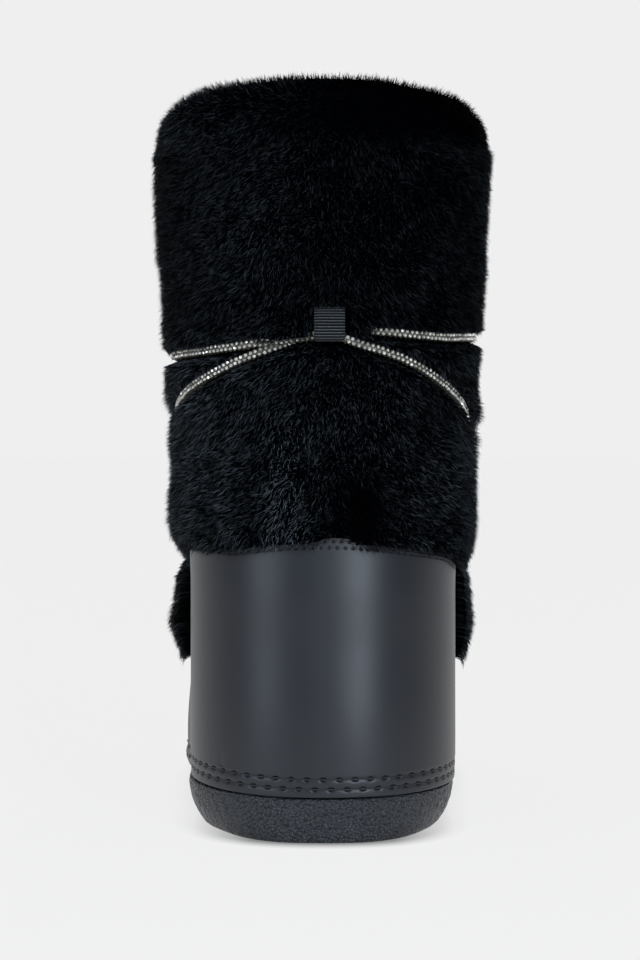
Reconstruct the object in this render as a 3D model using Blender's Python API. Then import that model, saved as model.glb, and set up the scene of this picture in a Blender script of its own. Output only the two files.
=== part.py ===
"""Fur-covered after-ski ankle boot with a stone-set lace, on a low rubber sole.

The toe points to +Y, and the origin lies on the floor under the middle of the boot. Sizes are written in
millimetres and become metres when a mesh is made. A place on the upper is given by its turn (0 at the back
of the heel, positive to the right, 180 at the toe), its station or height, and how far out it stands.
"""

import math
from collections import namedtuple

import bmesh
import bpy
import numpy as np
from mathutils import Matrix, Vector

MM = 0.001

# Driving sizes
BOOT_LENGTH = 292.0
BALL_WIDTH = 113.6
HEEL_WIDTH = 101.2
RIM_HEIGHT = 269.0
RIM_DIP = 8.5
RIM_TURN = 64.0
COLLAR_SEAM = 254.0
SOLE_HEIGHT = 16.5
TOE_SPRING = 8.0
SPRING_START = 62.0
WALL = 3.0
PANEL = 1.7
PILE = 8.6
FIT = 0.3
INSOLE_THICK = 4.0
INSOLE_EDGE = 0.8

# The bare upper stands inside the panels and the fur
HEEL_REACH = 4.0
TOE_REACH = 4.5
HEEL_LINE = HEEL_REACH - BOOT_LENGTH / 2
TOE_LINE = BOOT_LENGTH / 2 - TOE_REACH
HEEL_HALF = HEEL_WIDTH / 2 - PANEL - FIT
BALL_HALF = BALL_WIDTH / 2 - PANEL - FIT

# Turns where the heel's arc ends and the toe's arc begins, and the columns round the boot
HEEL_TURN = 64.8
TOE_TURN = 108.0
HALF_TURN = 180.0
FULL_TURN = 360.0
COLUMN = 7.2
FULLNESS = 2.3
RING = np.arange(0.0, FULL_TURN, COLUMN)

# Sections of the upper from the sole to above the rim. Each lies on a plane from its back to its front:
# how far the back stands in from the heel line and its height, the same for the front and the toe line,
# how much wider it is than the heel and ball sizes, and how long its heel and toe arcs are.
Section = namedtuple("Section", "back_in back_z front_in front_z heel_wider ball_wider heel_arc toe_arc")
SECTIONS = (
    Section(1.0, 13.0, 3.0, 13.0, -0.5, -0.7, 56.0, 78.0),
    Section(0.0, 28.0, 0.0, 27.0, 0.0, 0.0, 57.0, 80.0),
    Section(0.0, 45.0, 0.5, 40.0, 0.0, -0.2, 57.0, 80.0),
    Section(1.0, 60.0, 4.5, 52.0, 0.0, -1.2, 57.0, 78.0),
    Section(2.0, 72.0, 15.0, 63.0, 0.0, -2.7, 56.0, 76.0),
    Section(2.5, 83.0, 32.0, 73.0, 0.0, -4.6, 56.0, 74.0),
    Section(3.0, 92.0, 55.0, 84.5, 0.0, -5.8, 56.0, 70.0),
    Section(4.0, 100.0, 79.0, 97.0, 0.2, -6.2, 56.0, 66.0),
    Section(5.0, 107.0, 101.0, 111.0, 0.5, -6.3, 56.0, 63.0),
    Section(6.0, 115.0, 120.0, 125.5, 0.9, -6.3, 56.0, 60.0),
    Section(7.5, 126.0, 135.0, 141.0, 1.0, -6.2, 56.0, 58.0),
    Section(8.7, 140.0, 146.0, 157.0, 0.9, -6.0, 56.0, 56.0),
    Section(9.2, 156.0, 151.5, 171.0, 1.6, -5.6, 55.0, 55.0),
    Section(9.0, 182.0, 153.0, 192.0, 3.4, -5.0, 55.0, 55.0),
    Section(7.5, 206.0, 152.5, 212.0, 4.3, -2.8, 56.0, 56.0),
    Section(6.0, 230.0, 151.0, 232.0, 5.8, -1.2, 57.0, 57.0),
    Section(5.0, 254.0, 149.0, 254.5, 6.6, -0.4, 58.0, 58.0),
    Section(4.8, 270.0, 149.0, 270.0, 6.8, -0.2, 58.0, 58.0),
    Section(5.5, 286.0, 149.5, 286.0, 6.3, -0.7, 58.0, 58.0),
)
SECTION_TABLE = np.array(SECTIONS)
STATIONS = np.arange(len(SECTIONS), dtype=float)

# Side of the outsole: height over the floor, how far out of the upper it stands, and the same at the heel's
# back, where the lower edge is less rounded; from one to the other between two turns
SoleRow = namedtuple("SoleRow", "height out back_out")
SOLE_SIDE = (
    SoleRow(SOLE_HEIGHT, -1.0, -1.0),
    SoleRow(16.1, 0.5, 0.5),
    SoleRow(14.0, 0.5, 1.0),
    SoleRow(9.0, -0.9, 1.4),
    SoleRow(4.8, -3.3, 1.3),
    SoleRow(2.0, -6.1, 0.9),
    SoleRow(0.5, -9.0, 0.1),
    SoleRow(0.0, -11.5, -1.4),
)
EDGE_TURNS = (10.0, 46.0)

# Tread: V-shaped grooves between the bars under heel and forefoot, and the hollow of the arch
Tread = namedtuple("Tread", "first_y count pitch")
TREADS = (Tread(-121.0, 4, 17.0), Tread(6.0, 6, 17.0))
GROOVE_WIDTH = 6.0
GROOVE_DEPTH = 3.0
GROOVE_SWEEP = 7.0
GROOVE_MARGIN = 16.0
ARCH_BACK = -52.0
ARCH_FRONT = -4.0
ARCH_RISE = 2.6
ARCH_STEPS = 8

# The lace: heights of its two strands round the ankle. The first runs from the upper left eyelet down to
# the lower right one, the second from the lower left eyelet up to the upper right one.
CORD_RADIUS = 2.1
CORD_SIDES = 8
CORD_STEP = 10.0
CORD_LIFT = 4.9
LOOP_LIFT = 5.6
TAB_LIFT = 6.3
LOOP_EASE = (8.0, 24.0)
TAB_EASE = (108.0, 130.0)
LACE_END = 139.5
BAR_GAP = 1.5
BAR_POINTS = 9
FINE_STEPS = 500
Strand = namedtuple("Strand", "turn first second")
STRANDS = (
    Strand(-180.0, 180.0, 143.0),
    Strand(-139.0, 180.0, 143.0),
    Strand(-108.0, 179.2, 145.5),
    Strand(-87.0, 178.8, 148.9),
    Strand(-66.0, 178.8, 154.6),
    Strand(-52.0, 179.1, 161.4),
    Strand(-34.0, 180.2, 170.3),
    Strand(-17.0, 182.8, 180.0),
    Strand(-6.0, 185.0, 184.6),
    Strand(3.0, 186.2, 189.2),
    Strand(10.0, 184.9, 188.4),
    Strand(20.0, 178.2, 186.5),
    Strand(34.0, 169.1, 185.1),
    Strand(45.0, 162.4, 185.1),
    Strand(59.0, 155.2, 185.5),
    Strand(66.0, 152.2, 185.4),
    Strand(87.0, 146.4, 184.2),
    Strand(108.0, 143.8, 182.3),
    Strand(139.0, 143.0, 180.0),
    Strand(180.0, 143.0, 180.0),
)
STRAND_TABLE = np.array(STRANDS)

# Front tabs with their eyelets, and the ribbon loop at the back
TAB_TURN = 147.6
TAB_HALF_TURN = 9.0
TAB_LOW = 134.0
TAB_HIGH = 187.0
TAB_IN = 2.1
TAB_OUT = 3.7
EYELET_HEIGHTS = {"lower": 143.0, "upper": 180.0}
EYELET_HOLE = 3.7
EYELET_SIDES = 10
EYELET_LIFT = 0.5
EyeletRow = namedtuple("EyeletRow", "radius height")
EYELET_PROFILE = (
    EyeletRow(2.5, -1.4),
    EyeletRow(3.3, -1.4),
    EyeletRow(3.3, EYELET_LIFT),
    EyeletRow(5.0, EYELET_LIFT),
    EyeletRow(4.6, 1.1),
    EyeletRow(3.4, 1.4),
    EyeletRow(2.5, 0.9),
)
LOOP_WIDTH = 11.3
LOOP_X = 2.6
LOOP_TURN = 3.0
LOOP_MIDDLE = 189.7
LOOP_HALF_HEIGHT = 8.0
LOOP_HALF_DEPTH = 4.15
LOOP_OUT = 5.35
LOOP_THICK = 1.0
LOOP_POINTS = 18
LOOP_FULL = 3.0
LOOP_TAPER = 0.4

# Places where the fur is pressed flat: middle and half size in turn and height, and what is left of it
Pressed = namedtuple("Pressed", "turn half_turn height half_height left")
PRESSED = (
    Pressed(LOOP_TURN, 9.0, LOOP_MIDDLE, 10.5, 0.8),
    Pressed(TAB_TURN, 11.0, 161.0, 36.0, 1.1),
    Pressed(-TAB_TURN, 11.0, 161.0, 36.0, 1.1),
)
DENT_HALF = 6.6
DENT_FLAT = 0.38
DENT_LEFT = CORD_LIFT - CORD_RADIUS - 3 * FIT

# Fur: backing, locks at the hems, round edges, and rows beside a dent by their distance from the strand
FUR_BACK = 2 * FIT
LOCK_LENGTH = 4.2
LOCK_OUT = 2.7
LOCK_THICK = 0.9
LOCK_WAVE = 0.3
LOCK_BEAT = 1.9
HEM_ROUND = 4.5
EDGE_SHARE = 0.75
TUCK_OUT = 2.2
DENT_ROWS = (1.8, 4.6, 7.0)
FUR_BACK_STATIONS = (15.0, 13.0, 12.0, 11.0, 10.0, 9.0)

# Heights of the panel edges: the fur seam from back to instep, the rand, the mudguard
COUNTER_TURN = 72.0
SEAM_GAP = 0.3
SEAM_BACK = 107.0
SEAM_DROP = 7.5
SEAM_CLIMB = 19.5
CLIMB_TURN = 88.0
RAND_BACK = 25.1
RAND_CLIMB = 3.2
GUARD_BACK = 60.0
GUARD_DROP = 14.0

# Cross-section of the collar's fur roll: height, how far out it stands, its part in the waves, and whether
# it follows the rim's dip
COLLAR_WAVE = 0.5
COLLAR_WAVES = 11
INSIDE = -WALL - FIT
RollRow = namedtuple("RollRow", "height out wavy dips")
COLLAR_ROLL = (
    RollRow(COLLAR_SEAM + FIT, FUR_BACK, 0, 0),
    RollRow(COLLAR_SEAM + FIT, EDGE_SHARE * PILE, 0, 0),
    RollRow(COLLAR_SEAM + HEM_ROUND, PILE, 1, 0),
    RollRow(RIM_HEIGHT - 1.0, PILE + FIT, 1, 1),
    RollRow(RIM_HEIGHT + 6.0, 0.7 * PILE, 1, 1),
    RollRow(RIM_HEIGHT + 10.5, 0.1 * PILE, 1, 1),
    RollRow(RIM_HEIGHT + 9.0, INSIDE - 1.5, 1, 1),
    RollRow(RIM_HEIGHT + 2.0, INSIDE - 5.5, 1, 1),
    RollRow(RIM_HEIGHT - 8.0, INSIDE - 5.0, 1, 1),
    RollRow(RIM_HEIGHT - 13.0, INSIDE - 2.0, 0, 1),
    RollRow(RIM_HEIGHT - 13.0, INSIDE, 0, 1),
    RollRow(RIM_HEIGHT + FIT, INSIDE, 0, 1),
    RollRow(RIM_HEIGHT + FIT, FUR_BACK, 0, 1),
)

TINY = 1e-3
HALVINGS = 40
SMOOTH_ANGLE = math.radians(38.0)


def blend(start, end, value):
    """Smooth step from 0 at start to 1 at end."""
    share = np.clip((np.asarray(value) - start) / (end - start), 0.0, 1.0)
    return share * share * (3.0 - 2.0 * share)


def smooth_curve(knots, values, at):
    """Cubic through the knots, whose slope at each knot comes from the two beside it."""
    slopes = np.gradient(values, knots, axis=0)
    row = np.clip(np.searchsorted(knots, at) - 1, 0, len(knots) - 2)
    step = knots[row + 1] - knots[row]
    share = (at - knots[row]) / step
    if values.ndim > 1:
        step = step[..., None]
        share = share[..., None]
    rest = 1.0 - share
    levels = values[row] * (1.0 + 2.0 * share) * rest**2 + values[row + 1] * share**2 * (3.0 - 2.0 * share)
    return levels + step * share * rest * (slopes[row] * rest - slopes[row + 1] * share)


def wrap(turn):
    """The same turn between -180 and 180."""
    return (np.asarray(turn, dtype=float) + HALF_TURN) % FULL_TURN - HALF_TURN


def arc(share):
    """Sine and cosine of a quarter turn, filled out to a rounder square."""
    angle = np.clip(share, 0.0, 1.0) * math.pi / 2
    sine = np.sin(angle)
    cosine = np.cos(angle)
    size = (sine**FULLNESS + cosine**FULLNESS) ** (-1.0 / FULLNESS)
    return sine * size, np.where(share >= 1.0, 0.0, cosine * size)


def toe_lift(y):
    """How far the toe spring raises a point at this distance along the boot."""
    return TOE_SPRING * (np.clip(y - SPRING_START, 0.0, None) / (BOOT_LENGTH / 2 - SPRING_START)) ** 2


def bare_point(turn, station):
    """A point of the upper before the toe spring: heel arc, side that widens to the ball, toe arc."""
    turn, station = np.broadcast_arrays(wrap(turn), station)
    values = smooth_curve(STATIONS, SECTION_TABLE, np.clip(station, 0.0, STATIONS[-1]))
    back_in, back_z, front_in, front_z, heel_wider, ball_wider, heel_arc, toe_arc = np.moveaxis(values, -1, 0)
    back = HEEL_LINE + back_in
    front = TOE_LINE - front_in
    side = np.abs(turn)
    heel_sine, heel_cosine = arc(side / HEEL_TURN)
    toe_sine, toe_cosine = arc((HALF_TURN - side) / (HALF_TURN - TOE_TURN))
    along = np.clip((side - HEEL_TURN) / (TOE_TURN - HEEL_TURN), 0.0, 1.0)
    half = HEEL_HALF + heel_wider + (BALL_HALF + ball_wider - HEEL_HALF - heel_wider) * blend(0.0, 1.0, along)
    x = np.sign(turn) * half * heel_sine * toe_sine
    straight = front - toe_arc - back - heel_arc
    y = back + heel_arc * (1.0 - heel_cosine) + along * straight + toe_arc * toe_cosine
    z = back_z + (front_z - back_z) * (y - back) / (front - back)
    return np.stack([x, y, z], axis=-1)


def upper_point(turn, station, out):
    """A point that stands out from the upper along its normal, raised by the toe spring."""
    across = bare_point(turn + TINY, station) - bare_point(turn - TINY, station)
    upward = bare_point(turn, station + TINY) - bare_point(turn, station - TINY)
    normal = np.cross(across, upward)
    normal /= np.linalg.norm(normal, axis=-1, keepdims=True)
    point = bare_point(turn, station) + normal * np.asarray(out, dtype=float)[..., None]
    point[..., 2] += toe_lift(point[..., 1])
    return point


def station_at(turn, height):
    """The station at which the upper has this height at this turn, found by halving."""
    turn, height = np.broadcast_arrays(np.asarray(turn, dtype=float), np.asarray(height, dtype=float))
    low = np.zeros(turn.shape)
    high = np.full(turn.shape, STATIONS[-1])
    for _ in range(HALVINGS):
        middle = (low + high) / 2
        below = bare_point(turn, middle)[..., 2] < height
        low = np.where(below, middle, low)
        high = np.where(below, high, middle)
    return (low + high) / 2


def seam_height(turn):
    """Lower edge of the shaft's fur: over the heel counter, then up to the instep."""
    side = np.abs(wrap(turn))
    side_height = SEAM_BACK - SEAM_DROP * blend(0.0, HEEL_TURN, side)
    return side_height + SEAM_CLIMB * blend(CLIMB_TURN, HALF_TURN, side)


def rim_dip(turn):
    """How far the rim lies below its height at the back."""
    return RIM_DIP * blend(0.0, RIM_TURN, np.abs(wrap(turn)))


def rand_height(turn):
    """Upper edge of the rand, a little higher at the sides than at the back."""
    return RAND_BACK + RAND_CLIMB * blend(0.0, HEEL_TURN, np.abs(wrap(turn)))


def guard_height(turn):
    """Upper edge of the mudguard, falling towards the toe."""
    return GUARD_BACK - GUARD_DROP * blend(COUNTER_TURN, HALF_TURN, np.abs(wrap(turn)))


def lock_length(turn):
    """How far the fur lock at this turn hangs below its hem."""
    return LOCK_LENGTH * (1.0 + np.sin(LOCK_BEAT * np.asarray(turn))) / 2


def lace_heights(turn):
    """Heights of the two strands at this turn."""
    turn = wrap(turn)
    knots = STRAND_TABLE[:, 0]
    return smooth_curve(knots, STRAND_TABLE[:, 1], turn), smooth_curve(knots, STRAND_TABLE[:, 2], turn)


def fur_out(turn, height):
    """Height of the shaft's pile: full, dented along the strands, pressed under loop and tabs."""
    turn = wrap(turn)
    room = np.ones(np.broadcast(turn, height).shape)
    for strand in lace_heights(turn):
        room = np.minimum(room, blend(DENT_FLAT, 1.0, np.abs(height - strand) / DENT_HALF))
    out = DENT_LEFT + (PILE - DENT_LEFT) * room
    for place in PRESSED:
        away_turn = np.abs(turn - place.turn) / place.half_turn
        away_height = np.abs(height - place.height) / place.half_height
        room = blend(1.0, 1.5, np.maximum(away_turn, away_height))
        out = np.minimum(out, place.left + (PILE - place.left) * room)
    return out


def make_material(name, colour, roughness, metallic=0.0):
    """A plain finish."""
    material = bpy.data.materials.new(name)
    material.use_nodes = True
    shader = material.node_tree.nodes["Principled BSDF"]
    shader.inputs["Base Color"].default_value = (*colour, 1.0)
    shader.inputs["Roughness"].default_value = roughness
    shader.inputs["Metallic"].default_value = metallic
    return material


def make_object(name, points, faces, material):
    """An object with one closed mesh whose faces point out."""
    mesh = bpy.data.meshes.new(name)
    mesh.from_pydata((np.asarray(points).reshape(-1, 3) * MM).tolist(), [], faces)
    body = bmesh.new()
    body.from_mesh(mesh)
    bmesh.ops.recalc_face_normals(body, faces=body.faces)
    body.to_mesh(mesh)
    body.free()
    mesh.materials.append(material)
    mesh.shade_smooth()
    mesh.set_sharp_from_angle(angle=SMOOTH_ANGLE)
    piece = bpy.data.objects.new(name, mesh)
    bpy.context.scene.collection.objects.link(piece)
    return piece


def loft(name, points, material, closed):
    """A tube of cross-sections: points[row, column], rows round the section, columns along the way."""
    rows, columns = points.shape[:2]
    number = np.arange(rows * columns).reshape(rows, columns)
    steps = columns if closed else columns - 1
    faces = []
    for row in range(rows):
        above = (row + 1) % rows
        for column in range(steps):
            ahead = (column + 1) % columns
            corners = (number[row, column], number[row, ahead], number[above, ahead], number[above, column])
            faces.append([int(corner) for corner in corners])
    if not closed:
        faces.append(number[::-1, 0].tolist())
        faces.append(number[:, -1].tolist())
    return make_object(name, points, faces, material)


def ladder(first, columns, upward):
    """Faces that close a ring of points with rungs from its left to its right side."""
    half = columns // 2
    faces = [[first, first + 1, first + columns - 1]]
    for rung in range(1, half - 1):
        faces.append([first + rung, first + rung + 1, first + columns - rung - 1, first + columns - rung])
    faces.append([first + half - 1, first + half, first + half + 1])
    return faces if upward else [face[::-1] for face in faces]


def plate(name, heights, outs, material):
    """A flat plate of the foot's outline: rings of the given heights and outs, closed at both ends."""
    station = station_at(RING, SOLE_HEIGHT)
    rings = [upper_point(RING, station, np.broadcast_to(out, RING.shape)) for out in outs]
    columns = len(RING)
    points = np.array(rings)
    points[..., 2] = np.array(heights)[:, None]
    faces = ladder(0, columns, True) + ladder((len(outs) - 1) * columns, columns, False)
    for ring in range(len(outs) - 1):
        for column in range(columns):
            ahead = (column + 1) % columns
            start = ring * columns
            faces.append([start + column, start + columns + column, start + columns + ahead, start + ahead])
    return make_object(name, points, faces, material)


def raise_toe(piece):
    """Bend a finished flat piece up along the toe spring."""
    for vertex in piece.data.vertices:
        vertex.co.z += float(toe_lift(vertex.co.y / MM)) * MM


def cutter(name, points, faces):
    """A shape that only cuts."""
    piece = make_object(name, points, faces, bpy.data.materials.new(name))
    piece.hide_render = True
    piece.display_type = "WIRE"
    return piece


def combine(piece, other, operation):
    """Put an exact Boolean with another object on a piece."""
    step = piece.modifiers.new(other.name, "BOOLEAN")
    step.operation = operation
    step.solver = "EXACT"
    step.object = other


def settle(piece):
    """Make a piece's modifiers part of its mesh, and drop the shapes that they used."""
    others = [step.object for step in piece.modifiers]
    graph = bpy.context.evaluated_depsgraph_get()
    mesh = bpy.data.meshes.new_from_object(piece.evaluated_get(graph))
    piece.modifiers.clear()
    piece.data = mesh
    for other in others:
        bpy.data.objects.remove(other)
    mesh.shade_smooth()
    mesh.set_sharp_from_angle(angle=SMOOTH_ANGLE)


def prism(outline, low, high):
    """Points and faces of an upright prism over a flat outline."""
    count = len(outline)
    points = [(x, y, low) for x, y in outline] + [(x, y, high) for x, y in outline]
    faces = [list(range(count))[::-1], list(range(count, 2 * count))]
    for corner in range(count):
        ahead = (corner + 1) % count
        faces.append([corner, ahead, count + ahead, count + corner])
    return points, faces


def half_width_at(y):
    """Half the width of the upper's foot at this distance along the boot."""
    turns = np.linspace(0.0, HALF_TURN, FINE_STEPS)
    points = bare_point(turns, station_at(turns, SOLE_HEIGHT))
    return float(np.interp(y, points[:, 1], points[:, 0]))


def build_outsole(material):
    """Sole with a rounded lower edge, V-shaped tread grooves, a hollow arch and the toe spring."""
    from_back = blend(*EDGE_TURNS, np.abs(wrap(RING)))
    outs = [row.back_out + (row.out - row.back_out) * from_back for row in SOLE_SIDE]
    sole = plate("outsole", [row.height for row in SOLE_SIDE], outs, material)
    for tread in TREADS:
        for number in range(tread.count):
            y = tread.first_y + number * tread.pitch
            reach = half_width_at(y) - GROOVE_MARGIN
            near, far = y - GROOVE_WIDTH / 2, y + GROOVE_WIDTH / 2
            outline = [(0, near), (reach, near - GROOVE_SWEEP), (reach, far - GROOVE_SWEEP),
                       (0, far), (-reach, far - GROOVE_SWEEP), (-reach, near - GROOVE_SWEEP)]
            groove = cutter(f"groove_{y:.0f}", *prism(outline, -GROOVE_DEPTH, GROOVE_DEPTH))
            combine(sole, groove, "DIFFERENCE")
    combine(sole, build_arch(), "DIFFERENCE")
    settle(sole)
    raise_toe(sole)


def build_arch():
    """The hollow under the arch: a low bow from heel to ball, carried across the sole."""
    share = np.linspace(0.0, 1.0, ARCH_STEPS + 1)
    y = ARCH_BACK + (ARCH_FRONT - ARCH_BACK) * share
    z = ARCH_RISE * np.sin(math.pi * share) ** 2 - TINY
    count = len(share) + 2
    profile = [(ARCH_FRONT, -ARCH_RISE), (ARCH_BACK, -ARCH_RISE), *zip(y, z)]
    points = [(side * BALL_WIDTH, along, up) for side in (-1, 1) for along, up in profile]
    faces = [list(range(count)), list(range(count, 2 * count))[::-1]]
    for corner in range(count):
        ahead = (corner + 1) % count
        faces.append([corner, count + corner, count + ahead, ahead])
    return cutter("arch", points, faces)


def build_insole(material):
    """Plate inside the upper, on the sole."""
    inset = -WALL - 2 * FIT
    low = SOLE_HEIGHT + FIT
    high = low + INSOLE_THICK
    rows = ((high, inset - INSOLE_EDGE), (high - INSOLE_EDGE, inset), (low, inset))
    insole = plate("insole", [height for height, _ in rows], [out for _, out in rows], material)
    raise_toe(insole)


def strip(turns, low, high, shares):
    """Stations of rows between two height lines, at these shares of the way up."""
    low_station = station_at(turns, low)
    high_station = station_at(turns, high)
    return low_station + (high_station - low_station) * np.asarray(shares)[:, None]


def build_upper(material):
    """The lasted wall: one hollow solid, open at the collar and underneath."""
    low = station_at(RING, SOLE_HEIGHT + FIT)
    high = station_at(RING, RIM_HEIGHT - rim_dip(RING))
    outer = [low, *(np.full(RING.shape, station) for station in STATIONS[1:-2]), high]
    inner = [high, *(np.full(RING.shape, station) for station in STATIONS[-3:0:-2]), low]
    stations = np.array(outer + inner)
    outs = np.zeros(stations.shape)
    outs[len(outer):] = -WALL
    loft("upper", upper_point(RING, stations, outs), material, True)


def build_panel(name, turns, low, high, material, thick=PANEL, rows=5, closed=False, start=FIT):
    """A coated panel on the upper between two height lines, with softened edges."""
    outer_shares = np.concatenate([[0.0], np.linspace(0.0, 1.0, rows), [1.0]])
    inner_shares = np.linspace(1.0, 0.0, rows)[1:-1]
    stations = strip(turns, low, high, np.concatenate([outer_shares, inner_shares]))
    outs = np.full(stations.shape, start)
    outs[2:rows] = start + thick
    outs[1] = outs[rows] = start + 0.75 * thick
    return loft(name, upper_point(turns, stations, outs), material, closed)


def build_rand(material):
    """Stitched strip round the foot of the upper."""
    low = np.full(RING.shape, SOLE_HEIGHT + FIT)
    build_panel("rand", RING, low, rand_height(RING), material, rows=3, closed=True)


def build_counter_and_guard(material):
    """Heel counter round the heel, and the mudguard round the forefoot from its front edges."""
    heel = np.arange(-COUNTER_TURN, COUNTER_TURN + TINY, COLUMN)
    build_panel("heel_counter", heel, rand_height(heel) + FIT, seam_height(heel) - FIT, material, rows=6)
    front = np.arange(COUNTER_TURN, FULL_TURN - COUNTER_TURN + TINY, COLUMN)
    front[0] += SEAM_GAP
    front[-1] -= SEAM_GAP
    build_panel("mudguard", front, rand_height(front) + FIT, guard_height(front), material, rows=4)


def fur_hem(edge, pile, lock):
    """Rows of a lower edge whose locks hang over the panel below: from the backing out to the pile."""
    return [(edge, FUR_BACK), (edge, LOCK_OUT), (edge - lock, LOCK_OUT + LOCK_THICK),
            (edge - LOCK_WAVE * lock, EDGE_SHARE * pile)]


def fur_panel(name, turns, rows, back_stations, material, closed):
    """A fur panel: rows of height and out up its face, then stations down its backing."""
    stations = [station_at(turns, height) for height, _ in rows]
    stations += [np.broadcast_to(station, turns.shape) for station in back_stations]
    outs = [np.broadcast_to(out, turns.shape) for _, out in rows]
    outs += [np.full(turns.shape, FUR_BACK)] * len(back_stations)
    loft(name, upper_point(turns, np.array(stations), np.array(outs)), material, closed)


def build_fur_shaft(material):
    """Fur ring of the shaft: rows follow the hem's locks, the two dents of the lace and the collar seam."""
    first, second = lace_heights(RING)
    lower = np.minimum(first, second)
    upper = np.maximum(np.maximum(first, second), lower + CORD_RADIUS)
    gap = upper - lower
    edge = seam_height(RING) + FIT
    hem_end = edge + HEM_ROUND
    dent_low = lower - DENT_ROWS[-1]
    dent_high = upper + DENT_ROWS[-1]
    top = COLLAR_SEAM - FIT
    heights = [hem_end + (dent_low - hem_end) * share for share in (0.0, 0.35, 0.7)]
    heights += [lower - drop for drop in DENT_ROWS[::-1]]
    heights += [lower + np.minimum(rise, share * gap) for rise, share in zip(DENT_ROWS, (0.2, 0.35))]
    heights += [(lower + upper) / 2]
    heights += [upper - np.minimum(drop, share * gap) for drop, share in zip(DENT_ROWS[1::-1], (0.35, 0.2))]
    heights += [upper + rise for rise in DENT_ROWS]
    heights += [dent_high + (top - HEM_ROUND - dent_high) * share for share in (0.5, 1.0)]
    rows = fur_hem(edge, PILE, lock_length(RING))
    rows += [(height, fur_out(RING, height)) for height in heights]
    rows += [(top, EDGE_SHARE * PILE), (top, FUR_BACK)]
    fur_panel("fur_shaft", RING, rows, FUR_BACK_STATIONS, material, True)


def build_fur_vamp(material):
    """Fur over instep and toe: it hangs over the mudguard and tucks in under the shaft's hem."""
    turns = np.arange(COUNTER_TURN, FULL_TURN - COUNTER_TURN + TINY, COLUMN)
    turns[0] += SEAM_GAP
    turns[-1] -= SEAM_GAP
    low = guard_height(turns) + FIT
    high = seam_height(turns) - 2 * FIT
    shoulder = high - LOCK_LENGTH - LOCK_THICK
    from_end = np.minimum(turns - turns[0], turns[-1] - turns)
    pile = PILE * (EDGE_SHARE + (1.0 - EDGE_SHARE) * blend(0.0, COLUMN, from_end))
    rows = fur_hem(low, pile, lock_length(turns))
    rows += [(low + (shoulder - low) * share, pile) for share in (0.1, 0.24, 0.42, 0.6, 0.8, 1.0)]
    rows += [(shoulder + LOCK_THICK, TUCK_OUT), (high, TUCK_OUT), (high, FUR_BACK)]
    backs = strip(turns, low, high, (0.85, 0.7, 0.55, 0.4, 0.25, 0.12))
    fur_panel("fur_vamp", turns, rows, list(backs), material, False)


def build_fur_collar(material):
    """Fur roll over the rim: an upturned U round the wall, highest over the rim, in soft waves."""
    wave = COLLAR_WAVE * np.sin(np.radians(RING) * COLLAR_WAVES)
    heights = [station_at(RING, row.height - row.dips * rim_dip(RING)) for row in COLLAR_ROLL]
    outs = [row.out + wave * row.wavy for row in COLLAR_ROLL]
    loft("fur_collar", upper_point(RING, np.array(heights), np.array(outs)), material, True)


def tube(name, path, material):
    """A round cord along a path, its sections kept square to it."""
    ahead = np.gradient(path, axis=0)
    ahead /= np.linalg.norm(ahead, axis=1, keepdims=True)
    side = np.cross(ahead, (0.0, 0.0, 1.0))
    side /= np.linalg.norm(side, axis=1, keepdims=True)
    over = np.cross(side, ahead)
    angle = np.arange(CORD_SIDES)[:, None, None] * 2.0 * math.pi / CORD_SIDES
    return loft(name, path + CORD_RADIUS * (np.cos(angle) * side + np.sin(angle) * over), material, False)


def cord_path(turns, heights):
    """Points of a cord that lies on the dented fur, lifted where loop or tabs hold it."""
    lift = LOOP_LIFT + (CORD_LIFT - LOOP_LIFT) * blend(*LOOP_EASE, np.abs(turns - LOOP_TURN))
    lift = lift + (TAB_LIFT - CORD_LIFT) * blend(*TAB_EASE, np.abs(turns))
    return upper_point(turns, station_at(turns, heights), lift)


def build_lace(material):
    """Two strands round the ankle, joined where they cross at the back, and the bar across the front."""
    fine = np.linspace(-LACE_END, LACE_END, FINE_STEPS)
    strands = []
    for number, heights in enumerate(lace_heights(fine)):
        path = cord_path(fine, heights)
        length = np.concatenate([[0.0], np.cumsum(np.linalg.norm(np.diff(path, axis=0), axis=1))])
        turns = np.interp(np.linspace(0.0, length[-1], round(length[-1] / CORD_STEP)), length, fine)
        path = cord_path(turns, lace_heights(turns)[number])
        strands.append(tube(("lace", "lace_second")[number], path, material))
    combine(strands[0], strands[1], "UNION")
    settle(strands[0])
    bar_start = TAB_TURN + TAB_HALF_TURN + BAR_GAP
    bar = np.linspace(bar_start, FULL_TURN - bar_start, BAR_POINTS)
    height = np.full(bar.shape, EYELET_HEIGHTS["lower"])
    tube("lace_bar", upper_point(bar, station_at(bar, height), np.full(bar.shape, CORD_LIFT)), material)


def frame_on_upper(turn, height, out):
    """A matrix whose Z points out of the upper at this place."""
    place = np.array([turn]), np.array([float(station_at(turn, height))])
    point = upper_point(*place, np.array([out]))[0]
    outward = upper_point(*place, np.array([out + 1.0]))[0] - point
    turned = Vector(outward).to_track_quat("Z", "Y").to_matrix().to_4x4()
    return Matrix.Translation(Vector(point)) @ turned


def turned_ring(profile, sides):
    """Points of a turned ring, profile rows (radius, height) by sides."""
    angle = np.arange(sides) * 2.0 * math.pi / sides
    rows = [np.stack([r * np.cos(angle), r * np.sin(angle), 0 * angle + h], axis=-1) for r, h in profile]
    return np.array(rows)


def placed(points, matrix):
    """Points moved by a matrix."""
    turned = np.array(matrix)
    return points @ turned[:3, :3].T + turned[:3, 3]


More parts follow.
